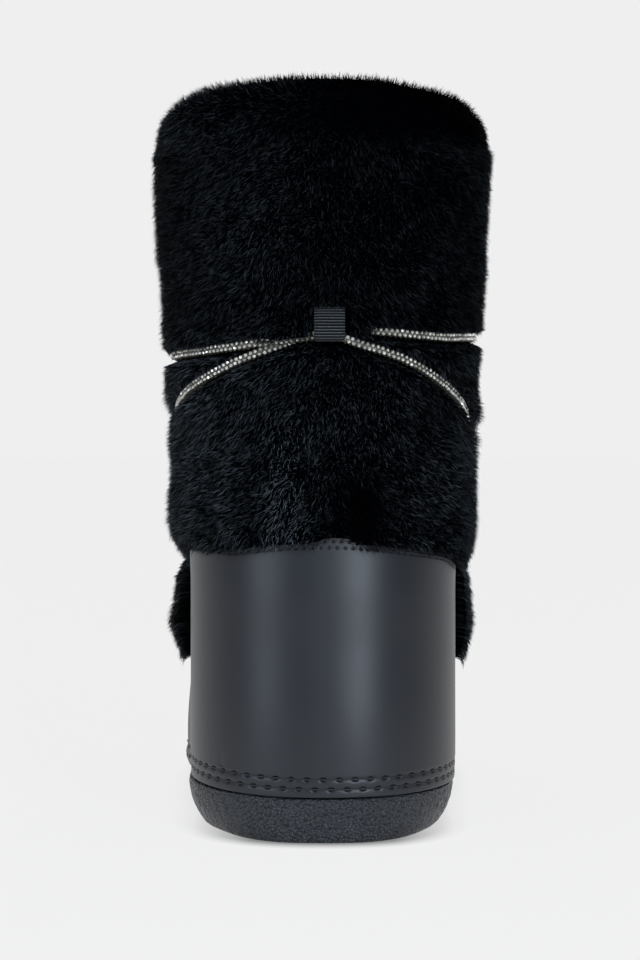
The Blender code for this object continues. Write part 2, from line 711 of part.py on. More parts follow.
def build_tabs(tab_material, eyelet_material):
    """Front tabs, each with two holes, and a flanged eyelet in each hole."""
    for side, sign in (("left", -1.0), ("right", 1.0)):
        turns = sign * TAB_TURN + np.linspace(-TAB_HALF_TURN, TAB_HALF_TURN, 5)
        low = np.full(turns.shape, TAB_LOW)
        high = np.full(turns.shape, TAB_HIGH)
        tab_name = f"lace_tab_{side}"
        tab = build_panel(tab_name, turns, low, high, tab_material, TAB_OUT - TAB_IN, 6, start=TAB_IN)
        for level, height in EYELET_HEIGHTS.items():
            matrix = frame_on_upper(sign * TAB_TURN, height, TAB_OUT)
            name = f"eyelet_{level}_{side}"
            loft(name, placed(turned_ring(EYELET_PROFILE, EYELET_SIDES), matrix), eyelet_material, True)
            circle = turned_ring(((EYELET_HOLE, 0.0),), EYELET_SIDES)[0, :, :2]
            points, faces = prism([tuple(corner) for corner in circle], -TAB_OUT, TAB_OUT)
            hole = cutter(f"hole_{level}_{side}", placed(np.array(points), matrix), faces)
            combine(tab, hole, "DIFFERENCE")
        settle(tab)


def build_back_loop(material):
    """Ribbon loop: a flat ring, full at its bottom and narrower at its top, as wide as the ribbon."""
    angle = np.arange(LOOP_POINTS) * 2.0 * math.pi / LOOP_POINTS
    full = (np.abs(np.sin(angle)) ** LOOP_FULL + np.abs(np.cos(angle)) ** LOOP_FULL) ** (-1.0 / LOOP_FULL)
    narrow = 1.0 - LOOP_TAPER * np.clip(np.sin(angle), 0.0, 1.0) ** 2
    back = bare_point(np.array(LOOP_TURN), station_at(LOOP_TURN, LOOP_MIDDLE))[1] - LOOP_OUT
    rings = []
    for thick, share in ((0.0, -0.5), (0.0, 0.5), (LOOP_THICK, 0.5), (LOOP_THICK, -0.5)):
        y = back - (LOOP_HALF_DEPTH - thick) * narrow * full * np.cos(angle)
        z = LOOP_MIDDLE + (LOOP_HALF_HEIGHT - thick) * full * np.sin(angle)
        rings.append(np.stack([0 * angle + LOOP_X + share * LOOP_WIDTH, y, z], axis=-1))
    loft("back_loop", np.array(rings), material, True)


def build_boot():
    """All pieces of the boot."""
    rubber = make_material("moulded_rubber", (0.035, 0.038, 0.044), 0.5)
    lining = make_material("padded_lining", (0.012, 0.012, 0.014), 0.85)
    coated = make_material("coated_leather", (0.030, 0.033, 0.040), 0.38)
    fur = make_material("faux_fur", (0.004, 0.004, 0.006), 0.7)
    ribbon = make_material("ribbed_ribbon", (0.008, 0.008, 0.010), 0.8)
    stones = make_material("stone_set_cord", (0.55, 0.55, 0.54), 0.2, 0.6)
    black_metal = make_material("blackened_metal", (0.02, 0.02, 0.022), 0.3, 1.0)
    build_outsole(rubber)
    build_insole(lining)
    build_upper(lining)
    build_rand(coated)
    build_counter_and_guard(coated)
    build_fur_shaft(fur)
    build_fur_vamp(fur)
    build_fur_collar(fur)
    build_lace(stones)
    build_tabs(coated, black_metal)
    build_back_loop(ribbon)


for old in list(bpy.data.objects):
    bpy.data.objects.remove(old)
build_boot()
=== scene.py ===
"""Finished look of a fur after-ski boot: brushed faux fur, stone-set lace, satin counter, pebbled sole.

Sizes are in millimetres and become metres when a mesh is made. A place on the upper is given by its turn (0
at the back of the heel, positive to the right, 180 at the toe), its height or station, and how far out it is.
"""

import math
from collections import namedtuple

import bpy
import numpy as np
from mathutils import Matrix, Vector


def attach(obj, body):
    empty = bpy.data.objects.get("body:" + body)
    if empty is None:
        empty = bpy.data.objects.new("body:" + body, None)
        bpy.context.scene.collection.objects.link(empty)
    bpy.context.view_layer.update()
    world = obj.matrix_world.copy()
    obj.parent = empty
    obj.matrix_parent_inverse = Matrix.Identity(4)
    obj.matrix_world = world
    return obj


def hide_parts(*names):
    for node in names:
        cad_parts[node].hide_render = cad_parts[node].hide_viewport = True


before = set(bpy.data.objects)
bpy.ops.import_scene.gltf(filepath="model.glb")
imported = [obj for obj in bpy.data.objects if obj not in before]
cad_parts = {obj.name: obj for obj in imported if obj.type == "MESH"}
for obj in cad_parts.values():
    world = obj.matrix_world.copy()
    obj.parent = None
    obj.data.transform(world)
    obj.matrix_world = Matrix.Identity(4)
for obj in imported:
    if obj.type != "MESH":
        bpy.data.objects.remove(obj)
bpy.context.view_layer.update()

MM = 0.001
BODY = "root"

# Driving sizes, the same as the solids have
BOOT_LENGTH = 292.0
BALL_WIDTH = 113.6
HEEL_WIDTH = 101.2
RIM_HEIGHT = 269.0
RIM_DIP = 8.5
RIM_TURN = 64.0
COLLAR_SEAM = 254.0
SOLE_HEIGHT = 16.5
TOE_SPRING = 8.0
SPRING_START = 62.0
WALL = 3.0
PANEL = 1.7
PILE = 8.6
FIT = 0.3
INSOLE_THICK = 4.0
HEEL_REACH = 4.0
TOE_REACH = 4.5
HEEL_LINE = HEEL_REACH - BOOT_LENGTH / 2
TOE_LINE = BOOT_LENGTH / 2 - TOE_REACH
HEEL_HALF = HEEL_WIDTH / 2 - PANEL - FIT
BALL_HALF = BALL_WIDTH / 2 - PANEL - FIT
HEEL_TURN = 64.8
TOE_TURN = 108.0
HALF_TURN = 180.0
FULL_TURN = 360.0
FULLNESS = 2.3

# Sections of the upper from the sole to above the rim. Each lies on a plane from its back to its front:
# how far the back stands in from the heel line and its height, the same for the front and the toe line,
# how much wider it is than the heel and ball sizes, and how long its heel and toe arcs are.
Section = namedtuple("Section", "back_in back_z front_in front_z heel_wider ball_wider heel_arc toe_arc")
SECTIONS = (
    Section(1.0, 13.0, 3.0, 13.0, -0.5, -0.7, 56.0, 78.0),
    Section(0.0, 28.0, 0.0, 27.0, 0.0, 0.0, 57.0, 80.0),
    Section(0.0, 45.0, 0.5, 40.0, 0.0, -0.2, 57.0, 80.0),
    Section(1.0, 60.0, 4.5, 52.0, 0.0, -1.2, 57.0, 78.0),
    Section(2.0, 72.0, 15.0, 63.0, 0.0, -2.7, 56.0, 76.0),
    Section(2.5, 83.0, 32.0, 73.0, 0.0, -4.6, 56.0, 74.0),
    Section(3.0, 92.0, 55.0, 84.5, 0.0, -5.8, 56.0, 70.0),
    Section(4.0, 100.0, 79.0, 97.0, 0.2, -6.2, 56.0, 66.0),
    Section(5.0, 107.0, 101.0, 111.0, 0.5, -6.3, 56.0, 63.0),
    Section(6.0, 115.0, 120.0, 125.5, 0.9, -6.3, 56.0, 60.0),
    Section(7.5, 126.0, 135.0, 141.0, 1.0, -6.2, 56.0, 58.0),
    Section(8.7, 140.0, 146.0, 157.0, 0.9, -6.0, 56.0, 56.0),
    Section(9.2, 156.0, 151.5, 171.0, 1.6, -5.6, 55.0, 55.0),
    Section(9.0, 182.0, 153.0, 192.0, 3.4, -5.0, 55.0, 55.0),
    Section(7.5, 206.0, 152.5, 212.0, 4.3, -2.8, 56.0, 56.0),
    Section(6.0, 230.0, 151.0, 232.0, 5.8, -1.2, 57.0, 57.0),
    Section(5.0, 254.0, 149.0, 254.5, 6.6, -0.4, 58.0, 58.0),
    Section(4.8, 270.0, 149.0, 270.0, 6.8, -0.2, 58.0, 58.0),
    Section(5.5, 286.0, 149.5, 286.0, 6.3, -0.7, 58.0, 58.0),
)
SECTION_TABLE = np.array(SECTIONS)
STATIONS = np.arange(len(SECTIONS), dtype=float)

# Side of the outsole: height over the floor, how far out of the upper it stands, and the same at the heel's
# back, where the lower edge is less rounded; from one to the other between two turns
SoleRow = namedtuple("SoleRow", "height out back_out")
SOLE_SIDE = (
    SoleRow(SOLE_HEIGHT, -1.0, -1.0),
    SoleRow(16.3, 0.9, 1.1),
    SoleRow(15.6, 1.3, 1.6),
    SoleRow(13.5, 1.2, 1.6),
    SoleRow(9.0, 0.1, 1.6),
    SoleRow(4.8, -2.1, 1.4),
    SoleRow(2.0, -4.3, 0.9),
    SoleRow(0.5, -6.6, 0.1),
    SoleRow(0.0, -9.0, -1.4),
)
EDGE_TURNS = (10.0, 46.0)
LEFT_WIDER = 1.5
WIDER_FROM = (-20.0, -55.0)
WIDER_TO = (-110.0, -80.0)
WIDER_RISE = 1.5
LEFT_CLIMB = 2.3
RIGHT_CLIMB = 1.3
CLIMB_FADE = (140.0, 90.0)
PEBBLE_RISE = 0.14
SIDE_ROWS = 34
SOLE_COLUMN = 0.45
BOTTOM_ROWS = 48
BOTTOM_COLUMNS = 400
LID_SHARES = (-1.0, -0.93, 0.93, 1.0)

# Tread: V-shaped grooves between the bars under heel and forefoot, how much closer the mesh's rows stand at
# both ends of the sole, and the arch's hollow
Tread = namedtuple("Tread", "first_y count pitch")
TREADS = (Tread(-121.0, 4, 17.0), Tread(6.0, 6, 17.0))
GROOVE_WIDTH = 6.0
GROOVE_DEPTH = 3.0
GROOVE_SWEEP = 7.0
GROOVE_MARGIN = 16.0
GROOVE_WALL = 1.2
END_CLOSER = 0.5
ARCH_BACK = -52.0
ARCH_FRONT = -4.0
ARCH_RISE = 2.6

# The lace's two strands round the ankle: heights at each turn, and how far out each lies
Strand = namedtuple("Strand", "turn first second first_out second_out")
STRANDS = (
    Strand(-180.0, 180.0, 143.0, 6.3, 6.3),
    Strand(-139.0, 180.0, 143.0, 6.3, 6.3),
    Strand(-108.0, 179.2, 145.5, 4.9, 4.9),
    Strand(-87.0, 178.8, 149.2, 4.9, 4.9),
    Strand(-66.0, 178.8, 154.4, 4.9, 4.9),
    Strand(-52.0, 179.1, 161.1, 4.9, 4.9),
    Strand(-34.0, 180.2, 170.3, 4.9, 4.9),
    Strand(-17.0, 182.9, 179.6, 4.7, 3.2),
    Strand(-11.0, 183.9, 182.4, 3.6, 1.0),
    Strand(-6.0, 184.7, 184.4, 3.7, 0.8),
    Strand(2.0, 185.9, 187.6, 5.2, 0.8),
    Strand(6.0, 184.4, 187.8, 5.1, 0.8),
    Strand(10.0, 182.3, 187.6, 5.0, 1.4),
    Strand(14.0, 180.7, 187.2, 4.9, 3.1),
    Strand(20.0, 178.0, 186.6, 4.9, 4.6),
    Strand(34.0, 169.0, 185.3, 4.9, 4.9),
    Strand(45.0, 161.5, 185.6, 4.9, 4.9),
    Strand(59.0, 153.0, 186.1, 4.9, 4.9),
    Strand(66.0, 150.4, 186.0, 4.9, 4.9),
    Strand(87.0, 145.7, 184.2, 4.9, 4.9),
    Strand(108.0, 143.8, 182.3, 4.9, 4.9),
    Strand(139.0, 143.0, 180.0, 6.3, 6.3),
    Strand(180.0, 143.0, 180.0, 6.3, 6.3),
)
STRAND_TABLE = np.array(STRANDS)
LACE_END = 139.5

# Where the lace goes through an eyelet and on under the tab: turn from the eyelet's, how far out, how round
EyeletPass = namedtuple("EyeletPass", "turn out round")
EYELET_PASS = (
    EyeletPass(-5.6, 7.0, 1.0),
    EyeletPass(-3.0, 7.2, 1.0),
    EyeletPass(-1.1, 5.8, 1.0),
    EyeletPass(-0.2, 3.6, 0.9),
    EyeletPass(0.8, 1.5, 0.5),
    EyeletPass(3.0, 1.05, 0.38),
    EyeletPass(6.0, 1.05, 0.38),
)
BAR_RISE = (EyeletPass(9.6, 1.6, 0.5), EyeletPass(11.6, 4.0, 1.0), EyeletPass(15.0, 4.9, 1.0))
BAR_TAIL = 3.0
CORD_SIDES = 14
LACE_STEPS = 620
CORD_STEP = 0.9
TUBE_RADIUS = 1.5
TUBE_SPREAD = 0.45
ROUND_ENOUGH = 0.97
STONE_PITCH = 1.95
STONE_ROWS = 6
STONE_RADIUS = 0.72
STONE_SMALL = 0.62
STONE_HEIGHT = 0.62
STONE_TABLE = 0.5
STONE_SIDES = 6
STONE_TILT = 0.14
STONE_SHIFT = 0.06
STONE_SWAY = 0.05
FUR_SIDE = -0.5
# How near a stone must face the outside to be painted bright, as painted reflection
PAINTED_LIT_SIDE = 0.7

# Front tabs with their eyelets, and the ribbon loop at the back
TAB_TURN = 147.6
TAB_HALF_TURN = 9.0
TAB_LOW = 134.0
TAB_HIGH = 187.0
TAB_IN = 2.1
TAB_OUT = 3.7
EYELET_HEIGHTS = {"lower": 143.0, "upper": 180.0}
EYELET_HOLE = 2.5
EYELET_BARREL = 3.3
EYELET_FLANGE = 5.0
EYELET_LIFT = 0.5
EYELET_CROWN = 0.9
EYELET_TAIL = -1.4
EYELET_SIDES = 36
EYELET_STEPS = 14
EYELET_WELL = (3.6, 2.9)
LOOP_WIDTH = 11.3
LOOP_X = 2.3
LOOP_TURN = 2.1
LOOP_MIDDLE = 189.4
LOOP_HALF_HEIGHT = 6.4
LOOP_HALF_DEPTH = 4.15
LOOP_OUT = 5.35
LOOP_THICK = 1.0
LOOP_FULL = 3.0
LOOP_TAPER = 0.4
RIB_PITCH = 1.1
RIB_RISE = 0.3
RIB_FULL = 0.7
LOOP_WORN = 0.25
LOOP_STEPS = 420
LOOP_ROWS = 9

# Places where the fur is pressed flat: middle and half size in turn and height, and what is left of it
Pressed = namedtuple("Pressed", "turn half_turn height half_height left")
PRESSED = (
    Pressed(LOOP_TURN, 3.8, LOOP_MIDDLE - 0.8, 5.6, 0.8),
    Pressed(TAB_TURN, 11.0, 161.0, 36.0, 1.1),
    Pressed(-TAB_TURN, 11.0, 161.0, 36.0, 1.1),
)
DENT_ABOVE = 2.5
DENT_BELOW = 3.8
DENT_TIGHT = 0.8
TIGHT_HEIGHTS = (170.0, 158.0)
DENT_FLAT = 0.4
DENT_LEFT = 2.2

# Where the fur closes over each strand beside the loop: from turn to turn, how far, and its overhang
Cover = namedtuple("Cover", "start end share drop")
COVERS = (Cover(-13.0, -2.0, 0.0, 2.0), Cover(-12.0, 9.5, 1.0, 1.4))
COVER_EASE = 6.0

# Fur: backing, and how its edge rounds and hangs at a hem, which on the heel's left lies higher
FUR_BACK = 2 * FIT
HEM_SHARE = 0.45
HEM_ROUND = 15.0
HEM_REACH = 6.5
HEM_RISE = 1.5
LEFT_HEM = 4.6
LEFT_HEM_TURNS = ((-24.0, -50.0), (-78.0, -60.0))
RIGHT_HEM = 2.8
RIGHT_HEM_TURNS = ((40.0, 58.0), (100.0, 80.0))

# Heights of the panel edges: the fur seam from back to instep, the rand, the mudguard
COUNTER_TURN = 72.0
SEAM_GAP = 0.3
SEAM_BACK = 107.0
SEAM_DROP = 7.5
SEAM_CLIMB = 19.5
CLIMB_TURN = 88.0
RAND_BACK = 25.1
RAND_CLIMB = 3.2
GUARD_BACK = 60.0
GUARD_DROP = 14.0

# Hairs for each square millimetre of the pile's face, the share of them laid round the toe, a hair's width,
# how far it lies along the nap and how much further at a hem, how far it stands up, how rare hairs with a
# painted glint are, the undercoat's share of the pile, and the step of the grids that carry it
HAIR_DENSITY = 3.4
TOE_HAIRS = 0.4
TOE_TURNS = (84.0, 112.0)
HAIR_WIDTH = 0.19
HAIR_REACH = 1.9
HEM_NAP = 1.35
NAP_RISE = 8.0
LIFT = 1.1
GLINTS = 4
UNDERCOAT = 0.83
BED_STEP = 1.2
SHAFT_ROWS = 124
VAMP_ROWS = 90

# How hairs differ: spread of reach, way down, way aside, lift and roll. A hair's root, middle and tip: the
# share of its way along the nap and of its height there, and how much of the root's depth is kept
REACH_SPREAD = 0.16
DOWN_SPREAD = 0.9
SIDE_SPREAD = 0.8
LIFT_SPREAD = 0.09
ROLL_SPREAD = 0.6
Bend = namedtuple("Bend", "travel height kept")
BENDS = (Bend(0.0, 0.12, 1.0), Bend(0.45, 0.84, 0.85), Bend(1.0, 1.0, 0.7))

# Painted light and shade in the fur's colour, for the light its nap gives back: what it loses to the right,
# above and at the collar, and where
NAP_RIGHT = (-45.0, 15.0)
NAP_TOE = (70.0, 120.0)
NAP_UPPER = (165.0, 195.0)
NAP_COLLAR = (252.0, 264.0)
COLLAR_TURNS = (-54.0, -22.0)
RIGHT_LOSS = 0.4
UPPER_LOSS = 0.69
UPPER_RIGHT = 0.36
COLLAR_LIGHT = 0.95
COLLAR_LOSS = 0.93
VAMP_LIGHT = 0.8
LEAST_LIGHT = 0.02

# Where the collar's roll is fuller: middle, half size and gain; how far it falls inside; how much thinner it is
# at both sides
Swell = namedtuple("Swell", "turn half gain")
SWELLS = (Swell(-36.0, 11.0, 0.2), Swell(33.0, 7.0, 0.1), Swell(-9.0, 14.0, 0.08))
COLLAR_FALL = 14.0
THIN_TURNS = ((40.0, 54.0), (130.0, 100.0))
LEFT_THIN = 0.16
RIGHT_THIN = 0.24

# Flaps of the vamp's fur that stand out at both sides: middle and half height, how full on the left and right
FLAP = (76.0, 9.0)
LEFT_FLAP = 0.3
RIGHT_FLAP = 0.16
TUCKED_PILE = 2.2

# Painted strokes of highlight and shade on the fur's colour: middle and half size in turn and height, and how
# much painted light they add or take
Stroke = namedtuple("Stroke", "turn half_turn height half_height gain")
PAINTED_STROKES = (
    Stroke(-11.0, 4.5, 121.0, 27.0, 1.5),
    Stroke(-18.5, 3.5, 124.0, 30.0, -0.45),
    Stroke(-37.0, 12.0, 111.0, 12.0, -0.28),
    Stroke(35.0, 10.0, 111.0, 12.0, -0.25),
    Stroke(-16.0, 14.0, 215.0, 40.0, 0.16),
    Stroke(10.0, 6.5, 120.0, 16.0, -0.82),
    Stroke(33.0, 9.0, 128.0, 22.0, 0.35),
    Stroke(-13.0, 8.0, 166.0, 8.0, -0.2),
    Stroke(29.0, 5.0, 161.0, 7.0, -0.3),
    Stroke(1.0, 3.5, 114.0, 8.0, -0.3),
)

# Places where the shaft's pile stands fuller: between the strands at both sides, and at the hem's left corner
PUFFS = (
    Stroke(-62.0, 16.0, 164.0, 7.0, 0.2),
    Stroke(62.0, 16.0, 157.0, 5.0, 0.18),
    Stroke(-66.0, 12.0, 113.0, 8.0, 0.2),
)

# Bare spot where the hem's fur parts over the counter's top stitches: its middle, half size and height
PART_TURN = 4.2
PART_HALF = 5.4
PART_RISE = 2.1

# Seams: stitch length, hole sizes and depth, thread, how far the rand's rows climb, and where rows lie
RAND_STITCH = 5.9
RAND_ROWS = (3.7, 7.3)
LEFT_ROW_CLIMB = 3.2
RIGHT_ROW_CLIMB = 1.4
HOLE_ALONG = 0.85
HOLE_UP = 0.6
HOLE_DEPTH = 1.3
THREAD_RADIUS = 0.2
KNOT_RADIUS = 0.42
FINE_KNOT = 0.4
COUNTER_KNOT = 0.3
KNOT_SHARE = 0.15
THREAD_SIDES = 6
THREAD_STEPS = 9
RAND_SINK = 0.2
THREAD_SINK = 0.1
TROUGH_HALF = 0.7
RAND_TROUGH = 0.25
GUARD_TROUGH = 0.3
COUNTER_HOLE = (0.4, 0.34, 1.3)
GUARD_SEAM = 3.0
EDGE_INSET = 2.6
TAB_INSET = 2.0
COUNTER_STITCH = 3.0
COUNTER_ROWS = (3.1, 0.8)
EDGE_STITCH = 2.4

# Panels: how far their edges are rounded and go in under the rand and the hem, and the steps of their grids
EDGE_ROUND = 1.2
END_ROUND = 1.4
RAND_LAP = 0.1
HEM_TUCK = 3.0
RAND_COLUMN = 0.36
RAND_GRID = 22
GUARD_COLUMN = 1.2
GUARD_ROWS = 40

# Crease on the counter's lower left: its turn at a height, slant, half width, depth, and where it ends
CREASE_TURN = -31.3
CREASE_HEIGHT = 25.0
CREASE_SLANT = 0.86
CREASE_HALF = 0.9
CREASE_DEPTH = 0.35
CREASE_END = (32.0, 28.0)

# Where counter and mudguard meet, their turned edges stand up: half size, rise, heights, the lump at the rand
RIDGE_HALF = 3.0
RIDGE_RISE = 2.2
RIDGE_HEIGHTS = (66.0, 34.0)
RIDGE_FOOT = (18.0, 23.0)
RIDGE_RIGHT = 0.35
LUMP = (23.5, 2.0)
LUMP_RISE = 0.6

# The camera stands behind the heel; sizes in the picture are in its own pixels
PICTURE_HEIGHT = 960.0
FOCAL_PIXELS = 2905.0
HORIZON_PIXEL = 392.0
CAMERA_BACK = 1050.0
CAMERA_HEIGHT = 164.7
CAMERA_X = -1.15
SENSOR = 36.0
PALE_GREY = "#EFEFEF"
COOL_WHITE = "#E4F0FF"
FLOOR_REACH = 6.0
AIM = (0.0, -0.05, 0.15)

UP = np.array([0.0, 0.0, 1.0])
FurBed = namedtuple("FurBed", "backing normal depth rooted kept down side shade ring")
Cord = namedtuple("Cord", "steps centre ahead upright outward round_share")
Finish = namedtuple("Finish", "material slot")
TINY = 1e-3
NO_LENGTH = 1e-12
HALVINGS = 26


def blend(start, end, value):
    """Smooth step from 0 at start to 1 at end: three times the squared share less twice its cube."""
    share = np.clip((np.asarray(value) - start) / (end - start), 0.0, 1.0)
    return share * share * (3.0 - 2.0 * share)


def bell(value, middle, half):
    """Bell curve: 1 at the middle, falling off with the square of the way from it in half sizes."""
    return np.exp(-(((value - middle) / half) ** 2))


def span(value, rise, fall):
    """1 between a rise and a fall, each a smooth step from one value to another."""
    return blend(*rise, value) * blend(*fall, value)


def smooth_curve(knots, values, at):
    """Cubic through the knots, whose slope at each knot comes from the two beside it."""
    slopes = np.gradient(values, knots, axis=0)
    row = np.clip(np.searchsorted(knots, at) - 1, 0, len(knots) - 2)
    step = knots[row + 1] - knots[row]
    share = (at - knots[row]) / step
    if values.ndim > 1:
        step = step[..., None]
        share = share[..., None]
    rest = 1.0 - share
    levels = values[row] * (1.0 + 2.0 * share) * rest**2 + values[row + 1] * share**2 * (3.0 - 2.0 * share)
    return levels + step * share * rest * (slopes[row] * rest - slopes[row + 1] * share)


def wrap(turn):
    """The same turn between -180 and 180."""
    return (np.asarray(turn, dtype=float) + HALF_TURN) % FULL_TURN - HALF_TURN


def arc(share):
    """Sine and cosine of a quarter turn, filled out to a rounder square."""
    angle = np.clip(share, 0.0, 1.0) * math.pi / 2
    sine = np.sin(angle)
    cosine = np.cos(angle)
    size = (sine**FULLNESS + cosine**FULLNESS) ** (-1.0 / FULLNESS)
    return sine * size, np.where(share >= 1.0, 0.0, cosine * size)


def toe_lift(y):
    """The toe spring's rise: it grows with the square of the way from its start to the toe."""
    return TOE_SPRING * (np.clip(y - SPRING_START, 0.0, None) / (BOOT_LENGTH / 2 - SPRING_START)) ** 2


def bare_point(turn, station):
    """A point of the upper before the toe spring: heel arc, side that widens to the ball, toe arc."""
    turn, station = np.broadcast_arrays(wrap(turn), station)
    values = smooth_curve(STATIONS, SECTION_TABLE, np.clip(station, 0.0, STATIONS[-1]))
    back_in, back_z, front_in, front_z, heel_wider, ball_wider, heel_arc, toe_arc = np.moveaxis(values, -1, 0)
    back = HEEL_LINE + back_in
    front = TOE_LINE - front_in
    side = np.abs(turn)
    heel_sine, heel_cosine = arc(side / HEEL_TURN)
    toe_sine, toe_cosine = arc((HALF_TURN - side) / (HALF_TURN - TOE_TURN))
    along = np.clip((side - HEEL_TURN) / (TOE_TURN - HEEL_TURN), 0.0, 1.0)
    half = HEEL_HALF + heel_wider + (BALL_HALF + ball_wider - HEEL_HALF - heel_wider) * blend(0.0, 1.0, along)
    x = np.sign(turn) * half * heel_sine * toe_sine
    straight = front - toe_arc - back - heel_arc
    y = back + heel_arc * (1.0 - heel_cosine) + along * straight + toe_arc * toe_cosine
    z = back_z + (front_z - back_z) * (y - back) / (front - back)
    return np.stack([x, y, z], axis=-1)


def upper_point(turn, station, out):
    """A point that stands out from the upper along its normal, raised by the toe spring."""
    across = bare_point(turn + TINY, station) - bare_point(turn - TINY, station)
    upward = bare_point(turn, station + TINY) - bare_point(turn, station - TINY)
    normal = np.cross(across, upward)
    normal /= np.linalg.norm(normal, axis=-1, keepdims=True)
    point = bare_point(turn, station) + normal * np.asarray(out, dtype=float)[..., None]
    point[..., 2] += toe_lift(point[..., 1])
    return point


def station_at(turn, height):
    """The station at which the upper has this height at this turn, found by halving."""
    turn, height = np.broadcast_arrays(np.asarray(turn, dtype=float), np.asarray(height, dtype=float))
    low = np.zeros(turn.shape)
    high = np.full(turn.shape, STATIONS[-1])
    for _ in range(HALVINGS):
        middle = (low + high) / 2
        below = bare_point(turn, middle)[..., 2] < height
        low = np.where(below, middle, low)
        high = np.where(below, high, middle)
    return (low + high) / 2


def place(turn, height, out):
    """A point at this turn and height of the upper, standing this far out."""
    turn, height, out = np.broadcast_arrays(turn, height, out)
    return upper_point(turn, station_at(turn, height), out)


def seam_height(turn):
    """Lower edge of the shaft's fur: over the heel counter, then up to the instep."""
    side = np.abs(wrap(turn))
    side_height = SEAM_BACK - SEAM_DROP * blend(0.0, HEEL_TURN, side)
    return side_height + SEAM_CLIMB * blend(CLIMB_TURN, HALF_TURN, side)


def rim_height(turn):
    """Height of the rim, which dips from the back to the sides."""
    return RIM_HEIGHT - RIM_DIP * blend(0.0, RIM_TURN, np.abs(wrap(turn)))


def hem_height(turn):
    """Lower edge of the shaft's hairs: over the seam, higher at the heel's left and lower at its right."""
    turn = wrap(turn)
    left = span(turn, *LEFT_HEM_TURNS)
    right = span(turn, *RIGHT_HEM_TURNS)
    return seam_height(turn) + HEM_RISE + LEFT_HEM * left - RIGHT_HEM * right


def parted(turn):
    """How far the hem's fur is parted: 1 in the bare spot, falling off with the way to the fourth power."""
    return np.exp(-(((wrap(turn) - PART_TURN) / PART_HALF) ** 4))


def side_climb(turn, left, right):
    """How far a line round the heel rises from the back to its left and right; it falls again to the toe."""
    turn = wrap(turn)
    rise = np.where(turn < 0.0, left, right) * blend(0.0, HEEL_TURN, np.abs(turn))
    return rise * blend(*CLIMB_FADE, np.abs(turn))


def row_climb(turn):
    """How far the rand's stitch rows rise from the back to the sides."""
    return side_climb(turn, LEFT_ROW_CLIMB, RIGHT_ROW_CLIMB)


def sole_climb(turn):
    """How far the sole's upper line rises from the back to the sides."""
    return side_climb(turn, LEFT_CLIMB, RIGHT_CLIMB)


def rand_height(turn):
    """Upper edge of the rand, a little higher at the sides than at the back."""
    return RAND_BACK + RAND_CLIMB * blend(0.0, HEEL_TURN, np.abs(wrap(turn)))


def guard_height(turn):
    """Upper edge of the mudguard, falling towards the toe."""
    return GUARD_BACK - GUARD_DROP * blend(COUNTER_TURN, HALF_TURN, np.abs(wrap(turn)))


def lace_values(turn):
    """Heights of the two strands at this turn, and how far out they lie."""
    return np.moveaxis(smooth_curve(STRAND_TABLE[:, 0], STRAND_TABLE[:, 1:], wrap(turn)), -1, 0)


def fur_out(turn, height):
    """Height of the shaft's pile: full, dented along the strands, pressed under loop and tabs.

    Beside the loop the fur hangs over the strands or closes over them.
    """
    turn = wrap(turn)
    room = np.ones(np.broadcast(turn, height).shape)
    for strand, cover in zip(lace_values(turn)[:2], COVERS):
        closed = span(turn, (cover.start - COVER_EASE, cover.start), (cover.end + COVER_EASE, cover.end))
        away = height - strand + cover.drop * closed
        above = DENT_ABOVE - DENT_TIGHT * blend(*TIGHT_HEIGHTS, strand)
        beside = blend(DENT_FLAT, 1.0, np.abs(away) / np.where(away > 0.0, above, DENT_BELOW))
        room = np.minimum(room, beside + (1.0 - beside) * cover.share * closed)
    out = DENT_LEFT + (PILE - DENT_LEFT) * room
    for spot in PRESSED:
        away_turn = np.abs(turn - spot.turn) / spot.half_turn
        away_height = np.abs(height - spot.height) / spot.half_height
        room = blend(1.0, 1.5, np.maximum(away_turn, away_height))
        out = np.minimum(out, spot.left + (PILE - spot.left) * room)
    return out


def soft_noise(random, shape, row_size, column_size):
    """Random field with a spread of 1, softened over so many rows and columns, that joins round its edges."""
    rows = np.fft.fftfreq(shape[0])[:, None] * row_size
    columns = np.fft.rfftfreq(shape[1])[None, :] * column_size
    kept = np.exp(-2.0 * math.pi**2 * (rows**2 + columns**2))
    field = np.fft.irfft2(np.fft.rfft2(random.standard_normal(shape)) * kept, shape)
    return field / field.std()


def between(grid, row, column, ring):
    """Values of a grid at places between its points: the four points round each, by their shares."""
    rows, columns = grid.shape[:2]
    row = np.clip(row, 0.0, rows - 1.0 - TINY)
    column = column % columns if ring else np.clip(column, 0.0, columns - 1.0 - TINY)
    low = row.astype(int)
    left = column.astype(int) % columns
    right = (left + 1) % columns
    up = row - low
    along = column - np.floor(column)
    if grid.ndim == 3:
        up = up[:, None]
        along = along[:, None]
    below = grid[low, left] * (1.0 - along) + grid[low, right] * along
    above = grid[low + 1, left] * (1.0 - along) + grid[low + 1, right] * along
    return below * (1.0 - up) + above * up


def unit(vectors):
    """The same directions with a length of 1."""
    return vectors / np.maximum(np.linalg.norm(vectors, axis=-1, keepdims=True), NO_LENGTH)


def grid_faces(rows, columns, ring=False, loop=False):
    """Quads between neighbouring points of a grid; a ring joins its end columns, a loop its end rows."""
    number = np.arange(rows * columns).reshape(rows, columns)
    if ring:
        number = np.hstack([number, number[:, :1]])
    if loop:
        number = np.vstack([number, number[:1]])
    corners = number[:-1, :-1], number[:-1, 1:], number[1:, 1:], number[1:, :-1]
    return np.stack(corners, axis=-1).reshape(-1, 4)


def grid_map(rows, columns):
    """A map that runs from 0 to 1 along the columns and up the rows."""
    up, along = np.meshgrid(np.linspace(0.0, 1.0, rows), np.linspace(0.0, 1.0, columns), indexing="ij")
    return np.stack([along, up], axis=-1)


def repeat_faces(faces, count, size):
    """The faces of one shape of so many points, carried on for each of many copies of it."""
    return (faces[None] + np.arange(count)[:, None, None] * size).reshape(-1, faces.shape[1])


